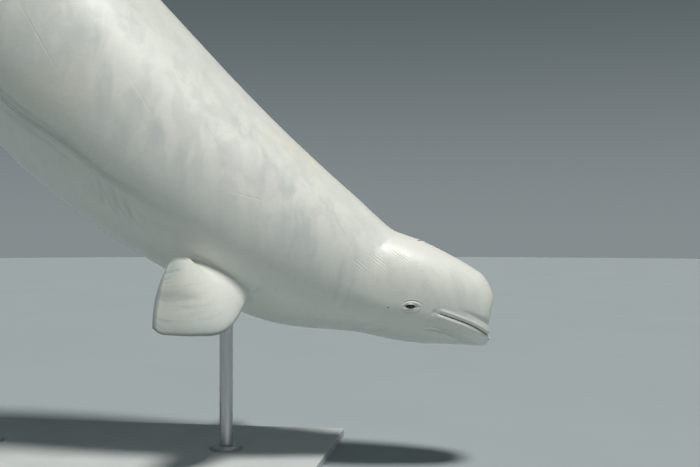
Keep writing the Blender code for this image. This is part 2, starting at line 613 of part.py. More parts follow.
def grow(shell, edge, root, root_way, sections, blend):
    """Lofts a fin from its root loop out through sections, the first few of them blended with the root."""
    last = edge
    first = sections[blend]
    leave = np.linalg.norm(first - root, axis=1, keepdims=True)
    arrive = sections[blend + 1] - sections[blend]
    arrive = arrive / np.linalg.norm(arrive, axis=1, keepdims=True) * leave
    n = len(root)
    flips = [k >= n // 2 for k in range(n)]
    for m in range(1, blend + 1):
        t = m / blend
        pts = root * (1 + 2 * t) * (1 - t) ** 2 + root_way * leave * t * (1 - t) ** 2 * ROOT_PULL
        pts = pts + first * t * t * (3 - 2 * t) - arrive * t * t * (1 - t) * ROOT_PULL
        loop = shell.add(pts)
        shell.band(last, loop, flips)
        last = loop
    for pts in sections[blend + 1:]:
        loop = shell.add(pts)
        shell.band(last, loop, flips)
        last = loop
    return last


def mirrored(points):
    return [(x, -y, z) for x, y, z in points]


def edge_at(stations, t):
    """Point on a fin's edge: its stations hold a share of the way out and a position."""
    return np.array([float(through([(p[0], p[k]) for p in stations], t)) for k in (1, 2, 3)])


def flipper_section(turn, middle, t):
    """Loop of points round the flipper at a share of the way from root to tip."""
    lead = edge_at(FLIPPER_LEAD, t)
    trail = edge_at(FLIPPER_TRAIL, t)
    near = max(t - FLIPPER_STEP, 0.0)
    far = min(t + FLIPPER_STEP, 1.0)
    ahead = edge_at(FLIPPER_LEAD, far) + edge_at(FLIPPER_TRAIL, far)
    ahead = ahead - edge_at(FLIPPER_LEAD, near) - edge_at(FLIPPER_TRAIL, near)
    ahead = ahead / np.linalg.norm(ahead)
    chord = trail - lead
    face = np.cross(ahead, chord)
    face = face / np.linalg.norm(face)
    c = (1 + np.cos(turn)) / 2
    fat = np.sin(turn) * (1 - FLIPPER_NOSE * np.cos(turn)) * float(through(FLIPPER_THICK, t)) / 2
    bulge = FLIPPER_TIP_BULGE * t ** 3 * 4 * c * (1 - c)
    curl = FLIPPER_CURL * float(step(t, *FLIPPER_CURL_SPAN))
    pts = middle + lead + np.outer(c, chord)
    return pts + np.outer(bulge, ahead) + np.outer(fat - curl, face)


def seat_root(shell, seat, rings, angles):
    """Root of a fin: a lid just clear of the body, and the loop round it that the fin grows from."""
    cols = np.radians(angles)
    spot = (seat[0], math.radians(seat[1]))
    turn = turns_round(rings, cols, (0, len(rings) - 1, 0, len(cols) - 1), spot)
    tilt = math.radians(seat[4])
    loops = []
    for g in SEAT_GROWTH[SEAT_EDGE:]:
        loops.append(on_skin(spot, seat[2] * g, seat[3] * g, NODE_GAP, tilt=tilt)(turn))
    rows = [shell.add(pts) for pts in loops]
    for a, b in zip(rows, rows[1:]):
        shell.band(a, b)
    shell.fan(rows[-1], skin(*spot) + facing(*spot) * NODE_GAP)
    s = seat[0] + seat[2] * np.cos(turn) * math.cos(tilt)
    phi = spot[1] + (seat[2] * np.cos(turn) * math.sin(tilt) + seat[3] * np.sin(turn)) / girth_scale(spot)
    return turn, rows[0], loops[0], facing(s, phi)


def make_flipper(name, side):
    shell = Shell()
    turn, edge, root, way = seat_root(shell, FLIPPER_SEAT, FLIPPER_RINGS, FLIPPER_ANGLES)
    middle = root.mean(axis=0)
    sections = [flipper_section(turn, middle, t) for t in FLIPPER_SECTIONS]
    last = grow(shell, edge, root, way, sections, FLIPPER_BLEND)
    close_tip(shell, last)
    return finish_fin(shell, name, side)


def close_tip(shell, loop):
    """Joins the two faces of a fin along its outer edge."""
    n = len(loop)
    best = min(range(n), key=lambda k: tip_gap(shell, loop, k))
    order = loop[best:] + loop[:best]
    shell.ladder(order)


def tip_gap(shell, loop, start):
    n = len(loop)
    pts = np.array([shell.points[k] for k in loop])
    pts = np.roll(pts, -start, axis=0)
    total = 0.0
    for k in range(1, n // 2):
        total += np.linalg.norm(pts[k] - pts[(n - k) % n])
    return total


def finish_fin(shell, name, side):
    used = sorted({k for f in shell.faces for k in f})
    new = {k: i for i, k in enumerate(used)}
    shell.points = [shell.points[k] for k in used]
    shell.faces = [tuple(new[k] for k in f) for f in shell.faces]
    if side < 0:
        shell.points = mirrored(shell.points)
        shell.faces = [f[::-1] for f in shell.faces]
    return shell.finish(name, FIN_COLOUR, SKIN_ROUGH)


def make_fluke(name, side):
    shell = Shell()
    turn, edge, root, way = seat_root(shell, FLUKE_SEAT, FLUKE_RINGS, FLUKE_ANGLES)
    c = (1 + np.cos(turn)) / 2
    fat = np.sin(turn) * (1 - FLUKE_NOSE * np.cos(turn))
    sections = []
    y0 = -float(root[:, 1].mean())
    mid = FLUKE_SEAT[0]
    aft = place(mid, 1.0, 0.0, 0.0) - place(mid, 0.0, 0.0, 0.0)
    way = way + np.outer(FLUKE_SWEEP[0] + (FLUKE_SWEEP[1] - FLUKE_SWEEP[0]) * c, aft)
    way = way / np.linalg.norm(way, axis=1, keepdims=True)
    for t in FLUKE_SECTIONS:
        lead = float(through(FLUKE_LEAD, t))
        trail = float(through(FLUKE_TRAIL, t))
        thick = float(through(FLUKE_THICK, t)) / 2
        s = lead + (trail - lead) * c
        y = y0 + (FLUKE_HALF_SPAN - y0) * t
        sections.append(place(mid, s - mid, FLUKE_RISE * t * t - thick * fat, y))
    last = grow(shell, edge, root, way, sections, FLUKE_BLEND)
    close_tip(shell, last)
    return finish_fin(shell, name, side)


def make_base():
    work = bmesh.new()
    bmesh.ops.create_cube(work, size=1.0)
    for v in work.verts:
        v.co.x = v.co.x * BASE_SIZE[0] + BASE_CENTRE_X
        v.co.y = v.co.y * BASE_SIZE[1]
        v.co.z = (v.co.z + 0.5) * BASE_SIZE[2]
    top = [e for e in work.edges if all(v.co.z > 0.001 for v in e.verts)]
    upright = [e for e in work.edges if abs(e.verts[0].co.z - e.verts[1].co.z) > 0.001]
    bmesh.ops.bevel(work, geom=top + upright, offset=BASE_EDGE, segments=2, affect="EDGES", profile=0.5)
    mesh = bpy.data.meshes.new("stand_base")
    work.to_mesh(mesh)
    work.free()
    body = bpy.data.objects.new("stand_base", mesh)
    bpy.context.collection.objects.link(body)
    dress(body, BASE_COLOUR, BASE_ROUGH, 0.0)
    return body


def dress(body, colour, rough, metal):
    paint = bpy.data.materials.new(body.name + "_surface")
    paint.use_nodes = True
    shader = paint.node_tree.nodes["Principled BSDF"]
    shader.inputs["Base Color"].default_value = colour
    shader.inputs["Roughness"].default_value = rough
    shader.inputs["Metallic"].default_value = metal
    body.data.materials.append(paint)


def belly_height(x, y):
    """Height of the underside of the body above a point of the floor."""
    s_grid = np.linspace(0.5, 3.2, 541)
    low = np.full(len(s_grid), 1.0)
    high = np.full(len(s_grid), math.pi)
    target = abs(y)
    for _ in range(40):
        mid = (low + high) / 2
        wide = -skin(s_grid, mid)[:, 1]
        low = np.where((wide > target) | (mid < math.pi / 2), mid, low)
        high = np.where((wide > target) | (mid < math.pi / 2), high, mid)
    pts = skin(s_grid, (low + high) / 2)
    order = np.argsort(pts[:, 0])
    return float(np.interp(x, pts[order, 0], pts[order, 2]))


def make_rod(name, x):
    shell = Shell()
    turns = np.linspace(0, 2 * math.pi, ROD_SIDES, endpoint=False)
    bottom = BASE_SIZE[2] + COLLAR_HEIGHT + NODE_GAP
    loops = []
    for r in ROD_TOP_RINGS:
        pts = []
        for t in turns:
            px, py = x + r * math.cos(t), r * math.sin(t)
            pts.append((px, py, belly_height(px, py) - 2 * NODE_GAP))
        loops.append(shell.add(pts))
    shell.fan(loops[0], (x, 0.0, belly_height(x, 0.0) - 2 * NODE_GAP))
    shell.band(loops[0], loops[1])
    shell.band(loops[1], loops[2])
    foot = shell.add([(x + ROD_RADIUS * math.cos(t), ROD_RADIUS * math.sin(t), bottom) for t in turns])
    shell.band(loops[2], foot)
    shell.fan(foot, (x, 0.0, bottom))
    return shell.finish(name, ROD_COLOUR, ROD_ROUGH, 1.0)


def make_collar(name, x):
    shell = Shell()
    turns = np.linspace(0, 2 * math.pi, COLLAR_SIDES, endpoint=False)
    low = BASE_SIZE[2] + NODE_GAP
    top = low + COLLAR_HEIGHT - NODE_GAP
    sides = ((COLLAR_RADIUS, low), (COLLAR_RADIUS, low + COLLAR_HEIGHT * COLLAR_EDGE[1]),
             (COLLAR_RADIUS * COLLAR_EDGE[0], top))
    loops = [shell.add([(x + r * math.cos(t), r * math.sin(t), z) for t in turns]) for r, z in sides]
    shell.fan(loops[0], (x, 0.0, low))
    shell.band(loops[0], loops[1])
    shell.band(loops[1], loops[2])
    shell.fan(loops[2], (x, 0.0, top))
    return shell.finish(name, ROD_COLOUR, ROD_ROUGH, 1.0)


make_head()
make_eye("eye_right", 1)
make_eye("eye_left", -1)
make_tube("neck", (NAPE_CUT, NECK_CUT), NECK_RINGS, TRUNK_HALF)
make_tube("chest", (NECK_CUT, CHEST_CUT), CHEST_RINGS, TRUNK_HALF, FLIPPER_SEAT, FLIPPER_RINGS,
          FLIPPER_ANGLES)
make_tube("torso", (CHEST_CUT, TORSO_CUT), TORSO_RINGS, TRUNK_HALF)
make_tube("tail", (TORSO_CUT, STOCK_END), TAIL_RINGS, TAIL_HALF, FLUKE_SEAT, FLUKE_RINGS, FLUKE_ANGLES)
make_flipper("flipper_right", 1)
make_flipper("flipper_left", -1)
make_fluke("fluke_right", 1)
make_fluke("fluke_left", -1)
make_base()
make_collar("stand_collar_front", ROD_FRONT_X)
make_collar("stand_collar_rear", ROD_REAR_X)
make_rod("stand_rod_front", ROD_FRONT_X)
make_rod("stand_rod_rear", ROD_REAR_X)
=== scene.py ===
import math
import bmesh
import bpy
import numpy as np
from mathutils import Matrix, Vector


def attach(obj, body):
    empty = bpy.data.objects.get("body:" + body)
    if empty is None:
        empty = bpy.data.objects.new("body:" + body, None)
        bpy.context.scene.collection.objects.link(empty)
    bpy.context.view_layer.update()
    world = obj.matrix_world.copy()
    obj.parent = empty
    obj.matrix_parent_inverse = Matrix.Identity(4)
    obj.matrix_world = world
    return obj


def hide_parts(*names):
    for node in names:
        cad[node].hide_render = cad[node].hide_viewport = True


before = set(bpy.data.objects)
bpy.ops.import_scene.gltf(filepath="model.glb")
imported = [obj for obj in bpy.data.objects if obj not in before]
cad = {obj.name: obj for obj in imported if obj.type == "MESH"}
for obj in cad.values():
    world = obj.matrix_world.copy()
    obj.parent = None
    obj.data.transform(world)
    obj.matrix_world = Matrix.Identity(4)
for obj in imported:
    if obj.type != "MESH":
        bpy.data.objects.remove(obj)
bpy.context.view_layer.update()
print("frame loaded:", len(cad), "nodes")

# Camera, set first: level, to the whale's right and a little ahead of square
view = {"lens": 50.0, "turn": 8.0, "distance": 3.42, "height": 0.80, "aimX": 1.1605}


def makeCamera():
    data = bpy.data.cameras.new("camera")
    data.lens = view["lens"]
    data.sensor_width = 36.0
    camera = bpy.data.objects.new("camera", data)
    bpy.context.scene.collection.objects.link(camera)
    turn = math.radians(view["turn"])
    camera.location = (view["aimX"] + math.sin(turn) * view["distance"], -math.cos(turn) * view["distance"],
                       view["height"])
    camera.rotation_euler = (math.pi / 2, 0.0, turn)
    bpy.context.scene.camera = camera


makeCamera()

# The whale's line from the lips to the fluke notch, in metres along it, and its slope in degrees
spineLine = {"snoutX": 1.648, "snoutZ": 0.441, "length": 3.97, "headPitch": 26.5, "backPitch": 46.0,
             "tailPitch": 23.0, "neckBend": (0.40, 1.55), "tailBend": (2.10, 4.10)}

# Front of the head: distances from a point inside it, by the angle from straight ahead.
# Behind it: back, belly, half width and level of the widest line, by the distance along the body.
bodyShape = {
    "frontDepth": 0.140, "frontLevel": 0.006,
    "melonFront": ((0, 0.1268), (2, 0.1225), (9.3, 0.1160), (19.5, 0.1178), (32.6, 0.1254), (42.5, 0.1357),
                   (52.5, 0.1485), (61.6, 0.1581), (70.5, 0.1658), (81.4, 0.1757), (86, 0.1789), (90, 0.1805)),
    "chinFront": ((0, 0.1268), (2, 0.1362), (4.3, 0.1392), (10.8, 0.1402), (19, 0.1345), (26, 0.1222),
                  (44.5, 0.0999), (60, 0.0925), (70, 0.0918), (82, 0.0953), (90, 0.1005)),
    "sideFront": ((0, 0.1268), (3, 0.1290), (15, 0.1318), (30, 0.1310), (45, 0.1275), (60, 0.1250),
                  (75, 0.1258), (83.3, 0.1287), (87, 0.1304), (90, 0.1325)),
    "back": ((0.140, 0.1865), (0.155, 0.188), (0.196, 0.192), (0.24, 0.194), (0.32, 0.195), (0.385, 0.191),
             (0.432, 0.185), (0.466, 0.182), (0.490, 0.186), (0.522, 0.194), (0.576, 0.208), (0.648, 0.226),
             (0.72, 0.240), (0.864, 0.264), (1.01, 0.282), (1.19, 0.297), (1.40, 0.306), (1.62, 0.311),
             (1.83, 0.315), (2.05, 0.312), (2.30, 0.297), (2.60, 0.262), (2.90, 0.210), (3.20, 0.155),
             (3.45, 0.112), (3.62, 0.083), (3.75, 0.056), (3.85, 0.034), (3.92, 0.018), (3.97, 0.004)),
    "belly": ((0.140, 0.0945), (0.162, 0.104), (0.187, 0.117), (0.227, 0.133), (0.27, 0.149), (0.324, 0.165),
              (0.385, 0.181), (0.432, 0.196), (0.468, 0.211), (0.522, 0.235), (0.576, 0.260), (0.648, 0.291),
              (0.72, 0.314), (0.792, 0.330), (0.864, 0.339), (0.936, 0.346), (1.01, 0.355), (1.19, 0.391),
              (1.40, 0.433), (1.62, 0.463), (1.83, 0.471), (2.05, 0.462), (2.30, 0.427), (2.60, 0.357),
              (2.90, 0.272), (3.20, 0.188), (3.45, 0.130), (3.62, 0.092), (3.75, 0.060), (3.85, 0.035),
              (3.92, 0.018), (3.97, 0.004)),
    "halfWidth": ((0.140, 0.1325), (0.17, 0.1425), (0.21, 0.1535), (0.25, 0.163), (0.305, 0.175), (0.36, 0.184),
                  (0.42, 0.190), (0.47, 0.195), (0.52, 0.204), (0.60, 0.229), (0.70, 0.262), (0.80, 0.290),
                  (0.95, 0.320), (1.10, 0.341), (1.30, 0.361), (1.55, 0.375), (1.80, 0.378), (2.05, 0.368),
                  (2.35, 0.334), (2.65, 0.279), (2.95, 0.212), (3.20, 0.156), (3.42, 0.111), (3.60, 0.079),
                  (3.75, 0.048), (3.85, 0.028), (3.92, 0.014), (3.97, 0.004)),
    "widestLine": ((0.140, 0.006), (0.17, 0.0055), (0.20, 0.003), (0.24, -0.004), (0.286, -0.012),
                   (0.34, -0.021), (0.40, -0.028), (0.47, -0.034), (0.60, -0.042), (0.80, -0.050),
                   (1.00, -0.058), (1.30, -0.072), (1.60, -0.080), (2.00, -0.078), (2.40, -0.060),
                   (2.80, -0.036), (3.20, -0.016), (3.60, -0.004), (3.80, -0.001), (3.97, 0.0)),
    "backRound": ((0.0, 2.0), (0.03, 2.02), (0.10, 2.2), (0.30, 2.35), (0.50, 2.15), (1.0, 2.0), (2.0, 1.95),
                  (3.0, 1.80), (3.6, 1.75), (3.97, 2.0)),
    "bellyRound": ((0.0, 2.0), (0.03, 2.02), (0.10, 2.15), (0.30, 2.2), (0.6, 2.1), (1.2, 2.1), (2.0, 2.1),
                   (3.0, 1.85), (3.6, 1.75), (3.97, 2.0)),
}

# Forms raised or sunk in the skin: (height or depth, half width), and where they run
mouth = {"line": ((0.0, 0.006), (0.02, 0.010), (0.045, 0.0155), (0.09, 0.0178), (0.14, 0.0142), (0.17, 0.0112),
                  (0.20, 0.0065), (0.24, -0.004)),
         "spread": 0.055, "corner": (0.178, 0.203), "groove": (0.0055, 0.0020), "parting": (0.0030, 0.0010),
         "upperLip": (0.0030, 0.011, 0.006), "lowerLip": (0.0042, 0.011, 0.007),
         "beakCrease": (0.0035, 0.036, 0.010)}
jawEdge = {"angle": ((0.03, 146.0), (0.05, 139.0), (0.066, 133.0), (0.085, 127.0), (0.113, 119.0),
                     (0.137, 114.5), (0.165, 114.0), (0.24, 114.0)),
           "groove": (0.0074, 0.0030), "roll": (0.0050, 0.0084, 0.0050)}
backRidge = {"height": 0.015, "spread": 0.018, "span": (1.70, 2.00, 2.20, 2.50), "notch": 0.048}


def through(stations, at):
    # smooth curve through a short list of stations
    xs = np.array([p[0] for p in stations], float)
    ys = np.array([p[1] for p in stations], float)
    gap = np.diff(xs)
    rise = np.diff(ys) / gap
    slope = np.empty_like(ys)
    slope[1:-1] = (rise[:-1] * gap[1:] + rise[1:] * gap[:-1]) / (gap[1:] + gap[:-1])
    slope[0], slope[-1] = rise[0], rise[-1]
    at = np.clip(np.asarray(at, float), xs[0], xs[-1])
    k = np.clip(np.searchsorted(xs, at, side="right") - 1, 0, len(xs) - 2)
    t = (at - xs[k]) / gap[k]
    a = ys[k] * (1 + 2 * t) * (1 - t) ** 2 + slope[k] * gap[k] * t * (1 - t) ** 2
    b = ys[k + 1] * t * t * (3 - 2 * t) - slope[k + 1] * gap[k] * t * t * (1 - t)
    return a + b


def step(at, low, high):
    t = np.clip((np.asarray(at, float) - low) / (high - low), 0.0, 1.0)
    return t * t * (3 - 2 * t)


def bell(at):
    return np.exp(-np.asarray(at, float) ** 2)


def pitch(s):
    bend = (spineLine["backPitch"] - spineLine["headPitch"]) * step(s, *spineLine["neckBend"])
    drop = (spineLine["backPitch"] - spineLine["tailPitch"]) * step(s, *spineLine["tailBend"])
    return np.radians(spineLine["headPitch"] + bend - drop)


spineAt = np.linspace(0.0, 4.3, 4301)
spineStep = spineAt[1] - spineAt[0]
spineSlope = pitch(spineAt[:-1] + spineStep / 2)
spineX = spineLine["snoutX"] - np.concatenate(([0.0], np.cumsum(np.cos(spineSlope)))) * spineStep
spineZ = spineLine["snoutZ"] + np.concatenate(([0.0], np.cumsum(np.sin(spineSlope)))) * spineStep


def place(s, along, up, out):
    # a point at a distance down the spine, moved along it, up from it and out to the right
    p = pitch(s)
    x = np.interp(s, spineAt, spineX) - along * np.cos(p) + up * np.sin(p)
    z = np.interp(s, spineAt, spineZ) + along * np.sin(p) + up * np.cos(p)
    return np.stack(np.broadcast_arrays(x, -np.asarray(out, float), z), axis=-1)


def widest(x):
    return np.where(x < bodyShape["frontDepth"], bodyShape["frontLevel"], through(bodyShape["widestLine"], x))


def relief(s, phi, x, up, girth):
    # height of the skin's own forms above the plain body
    low = np.abs(phi) > math.pi / 2
    seam = up - widest(x)
    parted = 1 - step(x, *mouth["corner"])
    h = -parted * mouth["groove"][0] * bell(seam / mouth["groove"][1])
    h = h - parted * mouth["parting"][0] * bell(seam / mouth["parting"][1])
    h = h + parted * mouth["upperLip"][0] * bell((seam - mouth["upperLip"][1]) / mouth["upperLip"][2])
    h = h + parted * mouth["lowerLip"][0] * bell((seam + mouth["lowerLip"][1]) / mouth["lowerLip"][2])
    h = h - 0.0022 * bell((x - 0.208) / 0.006) * bell(seam / 0.009)
    crease = mouth["beakCrease"]
    h = h - crease[0] * bell((seam - crease[1]) / crease[2]) * (1 - step(x, 0.05, 0.15))
    edge = (np.radians(through(jawEdge["angle"], s)) - np.abs(phi)) * girth
    jaw = step(s, 0.035, 0.060) * (1 - step(s, 0.185, 0.222)) * low
    h = h - jaw * jawEdge["groove"][0] * bell(edge / jawEdge["groove"][1])
    h = h + jaw * jawEdge["roll"][0] * bell((edge - jawEdge["roll"][1]) / jawEdge["roll"][2])
    span = backRidge["span"]
    env = step(s, span[0], span[1]) * (1 - step(s, span[2], span[3]))
    notch = 0.85 + 0.15 * np.cos(2 * math.pi * s / backRidge["notch"])
    h = h + backRidge["height"] * env * notch * bell(phi * girth / backRidge["spread"]) * (s > 1.0)
    flank = step(s, 0.95, 1.35) * (1 - step(s, 1.9, 2.5)) * bell((np.abs(phi) - math.radians(128)) / 0.20)
    return h + 0.008 * flank


def bodyPoint(s, phi):
    # a point of the skin from the distance along the body and the angle round it, 0 at the back, positive right
    s, phi = np.broadcast_arrays(np.asarray(s, float), np.asarray(phi, float))
    depth = bodyShape["frontDepth"]
    ahead = s < depth
    alpha = np.degrees(np.minimum(s / depth, 1.0) * math.pi / 2)
    level = np.where(ahead, bodyShape["frontLevel"], through(bodyShape["widestLine"], s))
    up = np.where(ahead, through(bodyShape["melonFront"], alpha), through(bodyShape["back"], s) - level)
    down = np.where(ahead, through(bodyShape["chinFront"], alpha), through(bodyShape["belly"], s) + level)
    side = np.where(ahead, through(bodyShape["sideFront"], alpha), through(bodyShape["halfWidth"], s))
    c = np.cos(phi)
    n = np.where(c > 0, through(bodyShape["backRound"], s), through(bodyShape["bellyRound"], s))
    r = (np.abs(c / np.where(c > 0, up, down)) ** n + np.abs(np.sin(phi) / side) ** n) ** (-1 / n)
    wide = np.where(ahead, np.sin(np.radians(alpha)), 1.0)
    deep = np.where(ahead, np.cos(np.radians(alpha)), 0.0)
    x = np.where(ahead, depth - r * deep, s)
    high = level + r * wide * np.cos(phi)
    slide = (through(mouth["line"], x) - widest(x)) * bell((high - level) / mouth["spread"])
    slide = slide * (1 - step(x, 0.20, 0.24))
    r = r + relief(s, phi, x, high, r * wide)
    along = np.where(ahead, depth - r * deep, 0.0)
    return place(np.where(ahead, 0.0, s), along, level + slide + r * wide * np.cos(phi), r * wide * np.sin(phi))


def facing(s, phi):
    # unit normal of the skin, out of the body
    d = 0.0006
    n = np.cross(bodyPoint(s + d, phi) - bodyPoint(s - d, phi), bodyPoint(s, phi + d * 4) - bodyPoint(s, phi - d * 4))
    n = n / np.linalg.norm(n, axis=-1, keepdims=True)
    away = bodyPoint(s, phi) - place(s, 0.0, 0.0, 0.0)
    return n * np.sign((n * away).sum(axis=-1, keepdims=True))


def girthScale(spot):
    return float(np.linalg.norm(bodyPoint(spot[0], spot[1] + 0.01) - bodyPoint(spot[0], spot[1] - 0.01)) / 0.02)


def fullTurn(half):
    # columns all round from those of the right side, in degrees from the back
    right = np.radians(half)
    return np.concatenate((right, -right[-2:0:-1]))


class SkinMesh:
    # one closed surface put together from rings of points, with what the paint needs to know at each point
    markNames = ("along", "around", "fin", "chord", "dark", "soft")

    def __init__(self):
        self.points, self.faces, self.count = [], [], 0
        self.marks = {name: [] for name in self.markNames}

    def add(self, points, **marks):
        points = np.asarray(points, float).reshape(-1, 3)
        n = len(points)
        self.points.append(points)
        for name in self.markNames:
            self.marks[name].append(np.broadcast_to(np.asarray(marks.get(name, 0.0), float), (n,)).copy())
        self.count += n
        return np.arange(self.count - n, self.count)

    def band(self, first, second):
        a, b = np.asarray(first), np.asarray(second)
        c, d = np.roll(b, -1), np.roll(a, -1)
        self.faces.append(np.stack((a, d, c), 1))
        self.faces.append(np.stack((a, c, b), 1))

    def fan(self, loop, centre, **marks):
        mid = self.add([centre], **marks)[0]
        loop = np.asarray(loop)
        self.faces.append(np.stack((loop, np.roll(loop, -1), np.full(len(loop), mid)), 1))

    def zipRings(self, first, firstTurn, second, secondTurn):
        # joins two rings whose points stand at different angles
        a = list(np.mod(firstTurn, 2 * math.pi)) + [2 * math.pi]
        b = list(np.mod(secondTurn, 2 * math.pi)) + [2 * math.pi]
        i, j, made = 0, 0, []
        while i < len(first) or j < len(second):
            p, q = first[i % len(first)], second[j % len(second)]
            if j >= len(second) or (i < len(first) and a[i + 1] <= b[j + 1]):
                made.append((p, first[(i + 1) % len(first)], q))
                i += 1
            else:
                made.append((p, second[(j + 1) % len(second)], q))
                j += 1
        self.faces.append(np.array(made))

    def closeEdge(self, loop):
        # joins the two faces of a fin along its outer edge
        n = len(loop)
        pts = self.allPoints()[loop]
        gaps = [np.linalg.norm(pts[(start + k) % n] - pts[(start - k) % n]) for start in range(n) for k in range(n // 2)]
        start = int(np.argmin(np.array(gaps).reshape(n, n // 2).sum(axis=1)))
        loop = np.roll(loop, -start)
        made = []
        for k in range(n // 2):
            a, b, c, d = loop[k], loop[k + 1], loop[(n - k - 1) % n], loop[(n - k) % n]
            if a != d:
                made.append((a, b, d))
            if b != c:
                made.append((b, c, d))
        self.faces.append(np.array(made))

    def allPoints(self):
        return np.concatenate(self.points)

    def finish(self, name, rounds=0):
        # leaves out the grid points inside the openings
        used, faces = np.unique(np.concatenate(self.faces), return_inverse=True)
        faces = faces.reshape(-1, 3)
        pts = self.allPoints()[used]
        marks = {mark: np.concatenate(self.marks[mark])[used] for mark in self.markNames}
        soft = marks["soft"]
        sides = np.concatenate((faces[:, [0, 1]], faces[:, [1, 2]], faces[:, [2, 0]]))
        sides = np.concatenate((sides, sides[:, ::-1]))
        near = np.bincount(sides[:, 0], minlength=len(pts)).astype(float)[:, None]
        for _ in range(rounds):
            total = np.stack([np.bincount(sides[:, 0], pts[sides[:, 1], k], len(pts)) for k in range(3)], 1)
            pts = pts + (total / near - pts) * (0.6 * soft)[:, None]
        mesh = bpy.data.meshes.new(name)
        mesh.from_pydata(pts.tolist(), [], faces.tolist())
        work = bmesh.new()
        work.from_mesh(mesh)
        bmesh.ops.recalc_face_normals(work, faces=work.faces)
        work.to_mesh(mesh)
        work.free()
        mesh.polygons.foreach_set("use_smooth", [True] * len(mesh.polygons))
        for mark in self.markNames[:-1]:
            layer = mesh.attributes.new(mark, "FLOAT", "POINT")
            layer.data.foreach_set("value", marks[mark].astype(np.float32))
        obj = bpy.data.objects.new(name, mesh)
        bpy.context.scene.collection.objects.link(obj)
        return obj


def rimOf(hole, n):
    # corners round an opening in the grid, starting at the rear and the lesser angle
    i0, i1, j0, wide = hole
    j1 = j0 + wide
    loop = [(i1, j) for j in range(j0, j1)] + [(i, j1) for i in range(i1, i0, -1)]
    loop += [(i0, j) for j in range(j1, j0, -1)] + [(i, j0) for i in range(i0, i1)]
    return [(i, j % n) for i, j in loop]


def ovalSpots(spot, turn, length, width, tilt=0.0, bend=0.0):
    # distances and angles of an oval on the skin round a spot
    scale = girthScale(spot)
    along = length * np.cos(turn)
    across = width * np.sin(turn)
    s = spot[0] + along * math.cos(tilt) - across * math.sin(tilt) + bend * across * across
    phi = spot[1] + (along * math.sin(tilt) + across * math.cos(tilt)) / scale
    return s, phi


class Opening:
    # a hole in the grid, to be filled with loops that shrink onto a spot
    def __init__(self, skin, rows, rings, cols, hole, spot):
        self.skin, self.spot = skin, spot
        rim = rimOf(hole, len(cols))
        self.last = np.array([rows[i][j] for i, j in rim])
        self.s = np.array([rings[i] for i, j in rim])
        self.phi = np.array([spot[1] + math.remainder(cols[j] - spot[1], 2 * math.pi) for i, j in rim])
        here = np.stack((self.s - spot[0], (self.phi - spot[1]) * girthScale(spot)), 1)
        size = np.abs(here).max(axis=0)
        self.turn = np.arctan2(here[:, 1] / size[1], here[:, 0] / size[0])

    def slide(self, s, phi, steps):
        # loops lying on the skin, from where it is now to the given one
        for k in range(1, steps + 1):
            t = k / steps
            a, b = self.s + (s - self.s) * t, self.phi + (phi - self.phi) * t
            self.lay(bodyPoint(a, b), a, b)
        self.s, self.phi = s, phi

    def lay(self, points, s, phi, **marks):
        loop = self.skin.add(points, along=s, around=np.abs(phi), **marks)
        self.skin.band(self.last, loop)
        self.last = loop
        return loop

    def morph(self, keys, steps, paintedShades):
        # smooth loops through key loops of points
        keys = [bodyPoint(self.s, self.phi)] + list(keys)
        paintedShades = [0.0] + list(paintedShades)
        for k in range(len(keys) - 1):
            before = keys[max(k - 1, 0)]
            after = keys[min(k + 2, len(keys) - 1)]
            for m in range(1, steps + 1):
                t = m / steps
                a, b = (keys[k + 1] - before) / 2, (after - keys[k]) / 2
                pts = keys[k] * (1 + 2 * t) * (1 - t) ** 2 + a * t * (1 - t) ** 2
                pts = pts + keys[k + 1] * t * t * (3 - 2 * t) - b * t * t * (1 - t)
                self.lay(pts, self.s, self.phi, dark=paintedShades[k] + (paintedShades[k + 1] - paintedShades[k]) * t)


def spread(*parts):
    # angles or distances in even runs: (start, end, count), with each end shared
    runs = [np.linspace(a, b, n, endpoint=False) for a, b, n in parts]
    return list(np.concatenate(runs + [[parts[-1][1]]]))


def near(values, target):
    return int(np.argmin(np.abs(np.asarray(values) - target)))


# How finely each length of the body is laid out: rings along it and columns round its right half
frontAngles = spread((1.2, 8.4, 4), (8.4, 27, 10), (27, 90, 33))
frontRings = [bodyShape["frontDepth"] * a / 90 for a in frontAngles]
headHalf = spread((0, 60, 20), (60, 82, 11), (82, 87, 5), (87, 89.2, 4), (89.2, 90.8, 6), (90.8, 93, 4),
                  (93, 99, 6), (99, 108, 5), (108, 120, 13), (120, 180, 20))
headRings = frontRings[14:] + spread((0.1432, 0.236, 28), (0.236, 0.330, 28), (0.330, 0.466, 39))
trunkHalf = spread((0, 12, 6), (12, 96, 25), (96, 126, 28), (126, 146, 10), (146, 172, 7), (172, 178, 3),
                   (178, 180, 3))
trunkRings = spread((0.4705, 0.735, 40), (0.735, 1.001, 44), (1.001, 1.35, 44), (1.35, 2.60, 110))
tailHalf = spread((0, 12, 4), (12, 43, 7), (43, 137, 22), (137, 180, 9))
tailRings = spread((2.615, 3.67, 50), (3.67, 3.952, 20), (3.952, 3.966, 2))

